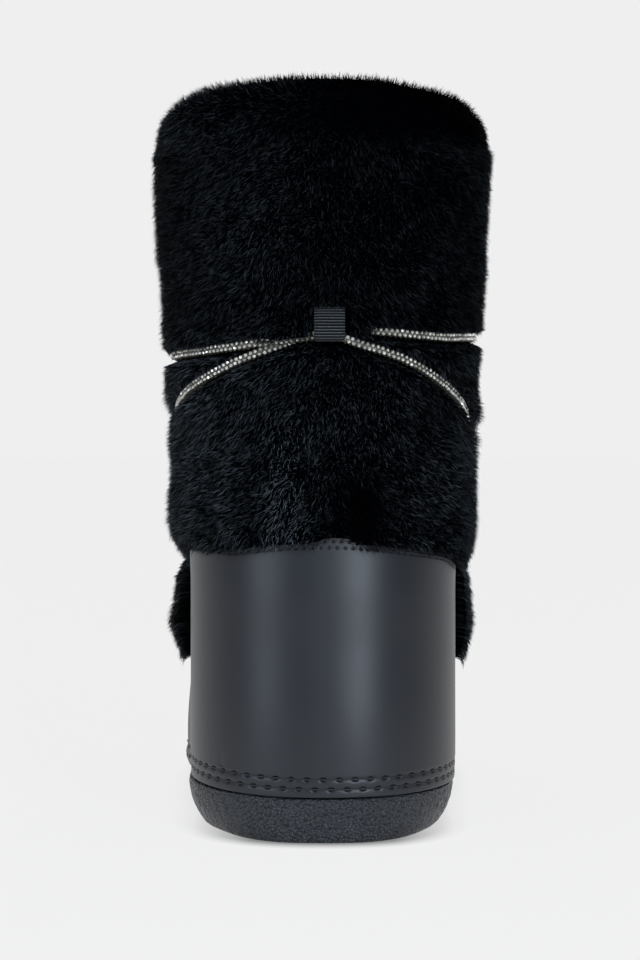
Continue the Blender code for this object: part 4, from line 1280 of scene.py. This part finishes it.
def tread_height(x, y):
    """Underside of the sole: swept grooves between bars, and the bow of the arch."""
    outline = foot_outline(np.linspace(0.0, HALF_TURN, 400), 0.0)
    reach = np.interp(y, outline[:, 1], outline[:, 0]) - GROOVE_MARGIN
    half = GROOVE_WIDTH / 2
    height = np.zeros(x.shape)
    for tread in TREADS:
        for number in range(tread.count):
            middle = tread.first_y + number * tread.pitch - GROOVE_SWEEP * np.abs(x) / np.maximum(reach, 1.0)
            inside = blend(half + GROOVE_WALL / 2, half - GROOVE_WALL / 2, np.abs(y - middle))
            inside = inside * blend(GROOVE_WALL / 2, -GROOVE_WALL / 2, np.abs(x) - reach)
            height = np.maximum(height, GROOVE_DEPTH * inside)
    arch = np.clip((y - ARCH_BACK) / (ARCH_FRONT - ARCH_BACK), 0.0, 1.0)
    return np.maximum(height, ARCH_RISE * np.sin(math.pi * arch) ** 2)


def join_grids(*grids):
    """Points and faces of several grids put together; each grid is its points, its faces."""
    start = 0
    points = []
    faces = []
    for grid, quads in grids:
        points.append(grid.reshape(-1, 3))
        faces.append(quads + start)
        start += grid.shape[0] * grid.shape[1]
    return np.concatenate(points), np.concatenate(faces)


def plate(shares, rim, height):
    """A grid across the foot, at a height: a row along the rim for each share of the rim's half width."""
    points = np.empty((len(shares), len(rim), 3))
    points[..., 0] = np.asarray(shares)[:, None] * rim[:, 0]
    points[..., 1] = rim[:, 1]
    points[..., 2] = height
    return points


def make_outsole(rubber):
    """Sole: a rounded side from the rand to the floor with pebbles raised on it, and a treaded underside."""
    random = np.random.default_rng(14)
    turns = np.arange(-HALF_TURN, HALF_TURN, SOLE_COLUMN)
    knots = np.arange(len(SOLE_SIDE), dtype=float)
    rows = smooth_curve(knots, np.array(SOLE_SIDE), np.linspace(0.0, knots[-1], SIDE_ROWS))
    heights, outs, back_outs = rows[:, :1], rows[:, 1:2], rows[:, 2:]
    pebbles = PEBBLE_RISE * np.tanh(soft_noise(random, (len(rows), len(turns)), 0.7, 0.8))
    pebbles *= blend(0.5, 1.5, SOLE_HEIGHT - heights) * blend(0.0, 1.0, heights)
    edge = back_outs + (outs - back_outs) * blend(*EDGE_TURNS, np.abs(turns))
    wider = LEFT_WIDER * blend(*WIDER_FROM, turns) * blend(*WIDER_TO, turns)
    edge = edge + wider * blend(0.0, WIDER_RISE, heights)
    side = np.empty((len(rows), len(turns), 3))
    side[..., :2] = foot_outline(turns, edge + pebbles)
    side[..., 2] = np.maximum(heights, 0.0) * (1.0 + sole_climb(turns) / SOLE_HEIGHT)
    half_turns = even_rows(BOTTOM_COLUMNS)
    last = SOLE_SIDE[-1]
    rim_out = last.back_out + (last.out - last.back_out) * blend(*EDGE_TURNS, half_turns)
    rim = foot_outline(half_turns, rim_out)
    bottom = plate(np.linspace(-1.0, 1.0, BOTTOM_ROWS), rim, 0.0)
    bottom[..., 2] = tread_height(bottom[..., 0], bottom[..., 1])
    top = plate(LID_SHARES, foot_outline(half_turns, SOLE_SIDE[0].out), SOLE_HEIGHT)
    top[0, :, 2] += sole_climb(-half_turns)
    top[-1, :, 2] += sole_climb(half_turns)
    for grid in (side, bottom, top):
        grid[..., 2] += toe_lift(grid[..., 1])
    points, faces = join_grids(
        (side[::-1], grid_faces(*side.shape[:2], ring=True)),
        (bottom, grid_faces(*bottom.shape[:2])),
        (top, grid_faces(*top.shape[:2])[:, ::-1]),
    )
    make_piece("moulded_outsole", points, faces, rubber, ["outsole"])


def make_insole(lining):
    """Insole: a plate with a low rim, padded towards its middle."""
    rim = foot_outline(np.linspace(0.0, HALF_TURN, 120), -WALL - 2 * FIT)
    shares = np.linspace(-1.0, 1.0, 21)
    low = SOLE_HEIGHT + FIT
    from_rim = (1.0 - np.abs(shares[:, None])) * rim[:, 0]
    top = plate(shares, rim, low + INSOLE_THICK * edge_round(from_rim, 2.0))
    bottom = plate(shares, rim, low)
    for grid in (top, bottom):
        grid[..., 2] += toe_lift(grid[..., 1])
    quads = grid_faces(*top.shape[:2])
    points, faces = join_grids((top, quads[:, ::-1]), (bottom, quads))
    make_piece("insole_board", points, faces, lining, ["insole"])


def make_upper(lining):
    """Lasted wall: up its outside, over the rim and down its napped inside, one closed surface."""
    random = np.random.default_rng(15)
    turns = np.arange(-HALF_TURN, HALF_TURN, 3.0)
    low = station_at(turns, SOLE_HEIGHT + FIT)
    high = station_at(turns, rim_height(turns))
    outer = np.linspace(0.0, 1.0, 18)[:, None]
    inner = np.linspace(1.0, 0.0, 56)[:, None]
    stations = low + (high - low) * np.concatenate([outer, inner])
    nap = 0.2 * soft_noise(random, (len(inner), len(turns)), 1.0, 1.0)
    outs = np.concatenate([np.zeros((len(outer), len(turns))), -WALL + nap])
    make_sheet("lasted_upper", upper_point(turns, stations, outs), lining, ["upper"], ring=True, loop=True)


def lace_path(number):
    """One strand from eyelet to eyelet: turn, height, out and roundness, with its passes through both."""
    turns = np.linspace(-LACE_END, LACE_END, LACE_STEPS)
    values = lace_values(turns)
    strand = np.stack([turns, values[number], values[2 + number], np.ones(turns.shape)], axis=1)
    ends = [np.array([(sign * (TAB_TURN + step.turn), height, step.out, step.round) for step in EYELET_PASS])
            for sign, height in ((-1.0, strand[0, 1]), (1.0, strand[-1, 1]))]
    return np.concatenate([ends[0][::-1], strand[4:-4], ends[1]])


def bar_path():
    """The bar across the front: out from under one tab, over the fur, and under the other."""
    height = EYELET_HEIGHTS["lower"]
    rise = np.array([(TAB_TURN + step.turn, height, step.out, step.round) for step in BAR_RISE])
    start = np.array([(TAB_TURN + EYELET_PASS[-1].turn - BAR_TAIL, height, *EYELET_PASS[-1][1:])])
    half = np.concatenate([start, rise])
    mirrored = half[::-1].copy()
    mirrored[:, 0] = FULL_TURN - mirrored[:, 0]
    return np.concatenate([half, mirrored])


def lay_cord(path):
    """Even steps along a path of turn, height, out and roundness: places, directions, roundness."""
    fine = np.linspace(0.0, len(path) - 1.0, 12 * len(path))
    rough = smooth_curve(np.arange(len(path), dtype=float), path, fine)
    spots = place(rough[:, 0], rough[:, 1], rough[:, 2])
    length = lengths(spots)
    steps = np.linspace(0.0, length[-1], round(length[-1] / CORD_STEP) + 1)
    centre = np.stack([np.interp(steps, length, spots[:, axis]) for axis in range(3)], axis=1)
    round_share = np.interp(steps, length, rough[:, 3])
    ahead = unit(np.gradient(centre, axis=0))
    upright = unit(UP - ahead * ahead[:, 2:])
    return Cord(steps, centre, ahead, upright, np.cross(ahead, upright), round_share)


def stone_faces():
    """Faces of one stone: two triangles for each side of its crown, and a fan over its table."""
    here = np.arange(STONE_SIDES)
    ahead = (here + 1) % STONE_SIDES
    crown = np.stack([here, ahead, ahead + STONE_SIDES], axis=1)
    crown_back = np.stack([here, ahead + STONE_SIDES, here + STONE_SIDES], axis=1)
    table = np.stack([here + STONE_SIDES, ahead + STONE_SIDES, 0 * here + 2 * STONE_SIDES], axis=1)
    return np.concatenate([crown, crown_back, table])


def set_stones(name, cord, glass, nodes, seed):
    """Cut stones on a cord, where it is round.

    Each stone is a low six-sided crown, with a ring at the tube and a smaller flat table, tilted a little at
    random. Stones of neighbouring rows stand half a step apart. Two rows along the outside are painted bright
    at random strengths, as painted reflection; the others are smaller and painted dim olive, as painted shade,
    and none are set on the side that lies in the fur.
    """
    random = np.random.default_rng(seed)
    along = np.arange(STONE_PITCH, cord.steps[-1], STONE_PITCH)
    distance = np.repeat(along, STONE_ROWS)
    around = math.pi / 2 + (np.tile(np.arange(STONE_ROWS), len(along)) + 0.5) * 2.0 * math.pi / STONE_ROWS
    distance = distance + np.tile(np.arange(STONE_ROWS) % 2, len(along)) * STONE_PITCH / 2
    distance = distance + random.normal(0.0, STONE_SHIFT, len(distance))
    around = around + random.normal(0.0, STONE_SWAY, len(around))
    kept = (np.interp(distance, cord.steps, cord.round_share) > ROUND_ENOUGH) & (np.sin(around) > FUR_SIDE)
    distance, around = distance[kept], around[kept]

    def at_stone(field):
        """Values of a field along the cord, at each stone."""
        return np.stack([np.interp(distance, cord.steps, field[:, axis]) for axis in range(3)], axis=1)

    out = np.cos(around)[:, None] * at_stone(cord.upright) + np.sin(around)[:, None] * at_stone(cord.outward)
    base = at_stone(cord.centre) + out * TUBE_RADIUS
    out = unit(out + random.normal(0.0, STONE_TILT, out.shape))
    ahead = at_stone(cord.ahead)
    first = unit(ahead - out * np.sum(ahead * out, axis=1, keepdims=True))
    second = np.cross(out, first)
    corner = (np.arange(STONE_SIDES) / STONE_SIDES + random.random(len(out))[:, None]) * 2.0 * math.pi
    # Stones that face out are painted bright as painted reflection; the others are smaller and painted dim as
    # painted shade
    front = np.cos(around - math.pi / 2) > PAINTED_LIT_SIDE
    size = np.where(front, 1.0, STONE_SMALL)[:, None, None]
    ring = np.cos(corner)[..., None] * first[:, None] + np.sin(corner)[..., None] * second[:, None]
    base, out = base[:, None], out[:, None]
    low = base + size * ring * STONE_RADIUS
    high = base + size * (ring * STONE_RADIUS * STONE_TABLE + out * STONE_HEIGHT)
    tip = base + size * out * STONE_HEIGHT
    points = np.concatenate([low, high, tip], axis=1)
    count = 2 * STONE_SIDES + 1
    faces = repeat_faces(stone_faces(), len(points), count)
    # Painted reflection: a random strength on stones that face out, none on the others
    tone = np.repeat(np.where(front, 0.35 + 0.65 * random.random(len(points)), 0.0), count)
    uv = np.stack([tone, np.tile(np.arange(count) / count, len(points))], axis=1)
    stones = make_piece(name, points, faces, glass, nodes, uv)
    stones.data.shade_flat()


def make_cord(name, path, mesh_tube, glass, nodes, seed):
    """Tube lace: a mesh tube along the path, flat under the tabs, and its stones."""
    cord = lay_cord(path)
    angle = np.arange(CORD_SIDES)[:, None, None] * 2.0 * math.pi / CORD_SIDES
    deep = TUBE_RADIUS * cord.round_share[:, None]
    wide = TUBE_RADIUS * (1.0 + TUBE_SPREAD * (1.0 - cord.round_share[:, None]))
    tube = cord.centre + np.cos(angle) * cord.upright * wide + np.sin(angle) * cord.outward * deep
    uv = np.stack(np.meshgrid(cord.steps / 0.6, np.arange(CORD_SIDES) * 2.0), axis=-1)
    make_sheet(name + "_tube", tube, mesh_tube, nodes, uv, loop=True)
    set_stones(name + "_stones", cord, glass, nodes, seed)


def make_tabs(coated, thread, metal):
    """Front tabs sewn down both sides, and a rolled eyelet at each hole."""
    inset = TAB_HALF_TURN - TAB_INSET
    heights = np.arange(TAB_LOW + 2.5, TAB_HIGH - 1.5, EDGE_STITCH)
    for side, sign in (("left", -1.0), ("right", 1.0)):
        middle = sign * TAB_TURN
        turns = middle + np.linspace(-TAB_HALF_TURN, TAB_HALF_TURN, 36)
        wells = [place(middle, level, TAB_OUT) for level in EYELET_HEIGHTS.values()]

        def relief(turn, height):
            """A well for each eyelet, whose hole opens in its middle."""
            gone = np.zeros(turn.shape)
            for well in wells:
                away = np.linalg.norm(place(turn, height, TAB_OUT) - well, axis=-1)
                gone = np.maximum(gone, (TAB_OUT - TAB_IN) * blend(*EYELET_WELL, away))
            return gone

        points = panel_points(turns, np.full(turns.shape, TAB_LOW), np.full(turns.shape, TAB_HIGH),
                              np.linspace(0.0, 1.0, 80), TAB_IN, TAB_OUT - TAB_IN, relief)
        node = f"lace_tab_{side}"
        make_sheet(f"tab_{side}", points, coated, [node])
        rows = [(np.full(heights.shape, middle + edge), heights) for edge in (-inset, inset)]
        sew(f"tab_threads_{side}", rows, TAB_OUT - THREAD_SINK, FINE_KNOT, thread, [node])
        for level, height in EYELET_HEIGHTS.items():
            make_eyelet(f"rolled_eyelet_{level}_{side}", middle, height, metal, f"eyelet_{level}_{side}")


def make_eyelet(name, turn, height, metal, node):
    """Eyelet: a profile turned about its hole, a rolled flange as a half ellipse over a straight barrel."""
    roll = np.linspace(0.0, math.pi, EYELET_STEPS)
    middle = (EYELET_FLANGE + EYELET_HOLE) / 2
    flange_r = middle + (EYELET_FLANGE - EYELET_HOLE) / 2 * np.cos(roll)
    flange_h = EYELET_LIFT + EYELET_CROWN * np.sin(roll)
    profile_r = np.concatenate([[EYELET_BARREL, EYELET_BARREL], flange_r, [EYELET_HOLE]])[:, None]
    profile_h = np.concatenate([[EYELET_TAIL, EYELET_LIFT], flange_h, [EYELET_TAIL]])[:, None]
    angle = np.arange(EYELET_SIDES) * 2.0 * math.pi / EYELET_SIDES
    spot = place(turn, height, TAB_OUT)
    outward = unit(place(turn, height, TAB_OUT + 1.0) - spot)
    first = unit(np.cross(UP, outward))
    second = np.cross(outward, first)
    ring = profile_r[..., None] * (np.cos(angle)[:, None] * first + np.sin(angle)[:, None] * second)
    make_sheet(name, spot + ring + profile_h[..., None] * outward, metal, [node], ring=True, loop=True)


def make_back_loop(ribbon):
    """Ribbon loop: a full oval, narrower at its top, carried across the ribbon's width, with raised ribs."""
    angle = np.linspace(0.0, 2.0 * math.pi, LOOP_STEPS, endpoint=False)
    full = (np.abs(np.sin(angle)) ** LOOP_FULL + np.abs(np.cos(angle)) ** LOOP_FULL) ** (-1.0 / LOOP_FULL)
    narrow = 1.0 - LOOP_TAPER * np.clip(np.sin(angle), 0.0, 1.0) ** 2
    back = bare_point(np.array(LOOP_TURN), station_at(LOOP_TURN, LOOP_MIDDLE))[1] - LOOP_OUT
    shape_y = narrow * full * np.cos(angle)
    shape_z = full * np.sin(angle)
    step_y = np.diff(LOOP_HALF_DEPTH * shape_y, append=0)
    step = np.hypot(step_y, np.diff(LOOP_HALF_HEIGHT * shape_z, append=0))
    step[-1] = step[0]
    length = np.concatenate([[0.0], np.cumsum(step)[:-1]])
    ribs = round(step.sum() / RIB_PITCH)
    rib = RIB_RISE * (np.abs(np.cos(length / step.sum() * ribs * math.pi)) ** RIB_FULL - 1.0)
    across = np.linspace(1.0, -1.0, LOOP_ROWS)
    rows = []
    for inward, shares in ((0.0, across), (LOOP_THICK, across[::-1])):
        for share in shares:
            worn = LOOP_WORN * abs(share) ** 8
            gone = inward - (rib - worn if inward == 0.0 else worn)
            y = back - (LOOP_HALF_DEPTH - gone) * shape_y
            z = LOOP_MIDDLE + (LOOP_HALF_HEIGHT - gone) * shape_z
            rows.append(np.stack([0 * angle + LOOP_X + share * LOOP_WIDTH / 2, y, z], axis=-1))
    uv = np.stack(np.meshgrid(length / step.sum() * ribs, np.arange(len(rows)) * 0.8), axis=-1)
    make_sheet("grosgrain_loop", np.array(rows), ribbon, ["back_loop"], uv, ring=True, loop=True)


def make_floor():
    """Pale floor that runs out of sight and glows evenly, with a painted soft shadow where the sole meets it.
    """
    mesh = bpy.data.meshes.new("floor")
    corners = [(x * FLOOR_REACH, y * FLOOR_REACH, 0.0) for x, y in ((-1, -1), (1, -1), (1, 1), (-1, 1))]
    mesh.from_pydata(corners, [], [(0, 1, 2, 3)])
    floor = bpy.data.objects.new("floor", mesh)
    bpy.context.scene.collection.objects.link(floor)
    material, tree, shader = new_material("pale_paper", Base_Color=linear("#484848"), Roughness=1.0,
                                          Specular_IOR_Level=0.0, Emission_Color=linear(PALE_GREY))
    # Painted contact shadow: the glow is dimmed where the boot hides the nearby floor and room, less to the
    # sides
    shade = add(tree, "ShaderNodeAmbientOcclusion", {"samples": 16}, Distance=0.012)
    parts = add(tree, "ShaderNodeSeparateXYZ", Vector=on_object(tree))
    aside = add(tree, "ShaderNodeMath", {"operation": "ABSOLUTE"}, Value=parts.outputs["X"])
    darkest = add(tree, "ShaderNodeMapRange", Value=aside.outputs["Value"], From_Min=0.026, From_Max=0.05,
                  To_Min=0.3, To_Max=0.88)
    glow = add(tree, "ShaderNodeMapRange", Value=shade.outputs["AO"], From_Min=0.45, From_Max=1.0,
               To_Min=darkest.outputs["Result"], To_Max=0.97)
    tree.links.new(glow.outputs["Result"], shader.inputs["Emission Strength"])
    mesh.materials.append(material)


def make_room():
    """Pale wall behind the floor as the camera sees it, and a dim room as the boot does."""
    world = bpy.data.worlds.new("studio")
    world.use_nodes = True
    tree = world.node_tree
    tree.nodes.clear()
    rays = add(tree, "ShaderNodeLightPath")
    seen = add(tree, "ShaderNodeBackground", Color=linear(PALE_GREY), Strength=1.0)
    where = add(tree, "ShaderNodeTexCoord")
    parts = add(tree, "ShaderNodeSeparateXYZ", Vector=where.outputs["Generated"])
    level = add(tree, "ShaderNodeMapRange", Value=parts.outputs["Y"], From_Min=-0.2, From_Max=0.4,
                To_Min=0.12, To_Max=0.6)
    cast = add(tree, "ShaderNodeBackground", Color=linear(PALE_GREY), Strength=level.outputs["Result"])
    mixed = add(tree, "ShaderNodeMixShader", Fac=rays.outputs["Is Camera Ray"])
    tree.links.new(cast.outputs["Background"], mixed.inputs[1])
    tree.links.new(seen.outputs["Background"], mixed.inputs[2])
    add(tree, "ShaderNodeOutputWorld", Surface=mixed.outputs["Shader"])
    bpy.context.scene.world = world


def make_light(name, bearing, distance, height, width, tall, power):
    """A soft box at this bearing from behind the heel, in degrees to the right, facing the boot."""
    lamp = bpy.data.lights.new(name, "AREA")
    lamp.shape = "RECTANGLE"
    lamp.size = width
    lamp.size_y = tall
    lamp.energy = power
    lamp.color = linear(COOL_WHITE)[:3]
    light = bpy.data.objects.new(name, lamp)
    angle = math.radians(bearing)
    light.location = (distance * math.sin(angle), -distance * math.cos(angle), height)
    towards = Vector(AIM) - light.location
    light.rotation_euler = towards.to_track_quat("-Z", "Y").to_euler()
    bpy.context.scene.collection.objects.link(light)


def make_camera():
    """The camera behind the heel: its height is the horizon's, tipped down to the picture's middle."""
    lens = bpy.data.cameras.new("camera")
    lens.sensor_width = SENSOR
    lens.lens = FOCAL_PIXELS / PICTURE_HEIGHT * SENSOR
    camera = bpy.data.objects.new("camera", lens)
    camera.location = (CAMERA_X * MM, (-BOOT_LENGTH / 2 - CAMERA_BACK) * MM, CAMERA_HEIGHT * MM)
    tip = math.atan((PICTURE_HEIGHT / 2 - HORIZON_PIXEL) / FOCAL_PIXELS)
    camera.rotation_euler = (math.pi / 2 - tip, 0.0, 0.0)
    bpy.context.scene.collection.objects.link(camera)
    bpy.context.scene.camera = camera


def dress_boot():
    """All finished pieces of the boot."""
    fibre = fibre_finish()
    underfur = undercoat_shade_finish()
    coated = coated_finish()
    thread = thread_finish()
    lining = lining_finish()
    mesh_tube = tube_finish()
    glass = stone_finish()
    make_outsole(rubber_finish())
    make_insole(lining)
    make_upper(lining)
    make_rand(coated, thread)
    make_counter(coated, thread)
    make_mudguard(coated, thread)
    make_shaft_fur(fibre, underfur)
    make_vamp_fur(fibre, underfur)
    make_collar_fur(fibre, underfur)
    make_cord("lace_first", lace_path(0), mesh_tube, glass, ["lace"], 31)
    make_cord("lace_second", lace_path(1), mesh_tube, glass, ["lace"], 32)
    make_cord("lace_front", bar_path(), mesh_tube, glass, ["lace_bar"], 33)
    make_tabs(coated, thread, eyelet_finish())
    make_back_loop(ribbon_finish())


dress_boot()
make_floor()
make_room()
make_light("right_soft_box", 23.0, 1.6, 0.45, 0.45, 1.3, 18.8)
make_light("left_soft_box", -43.0, 1.6, 0.45, 0.75, 1.3, 10.7)
make_camera()
bpy.context.scene.view_settings.view_transform = "Standard"
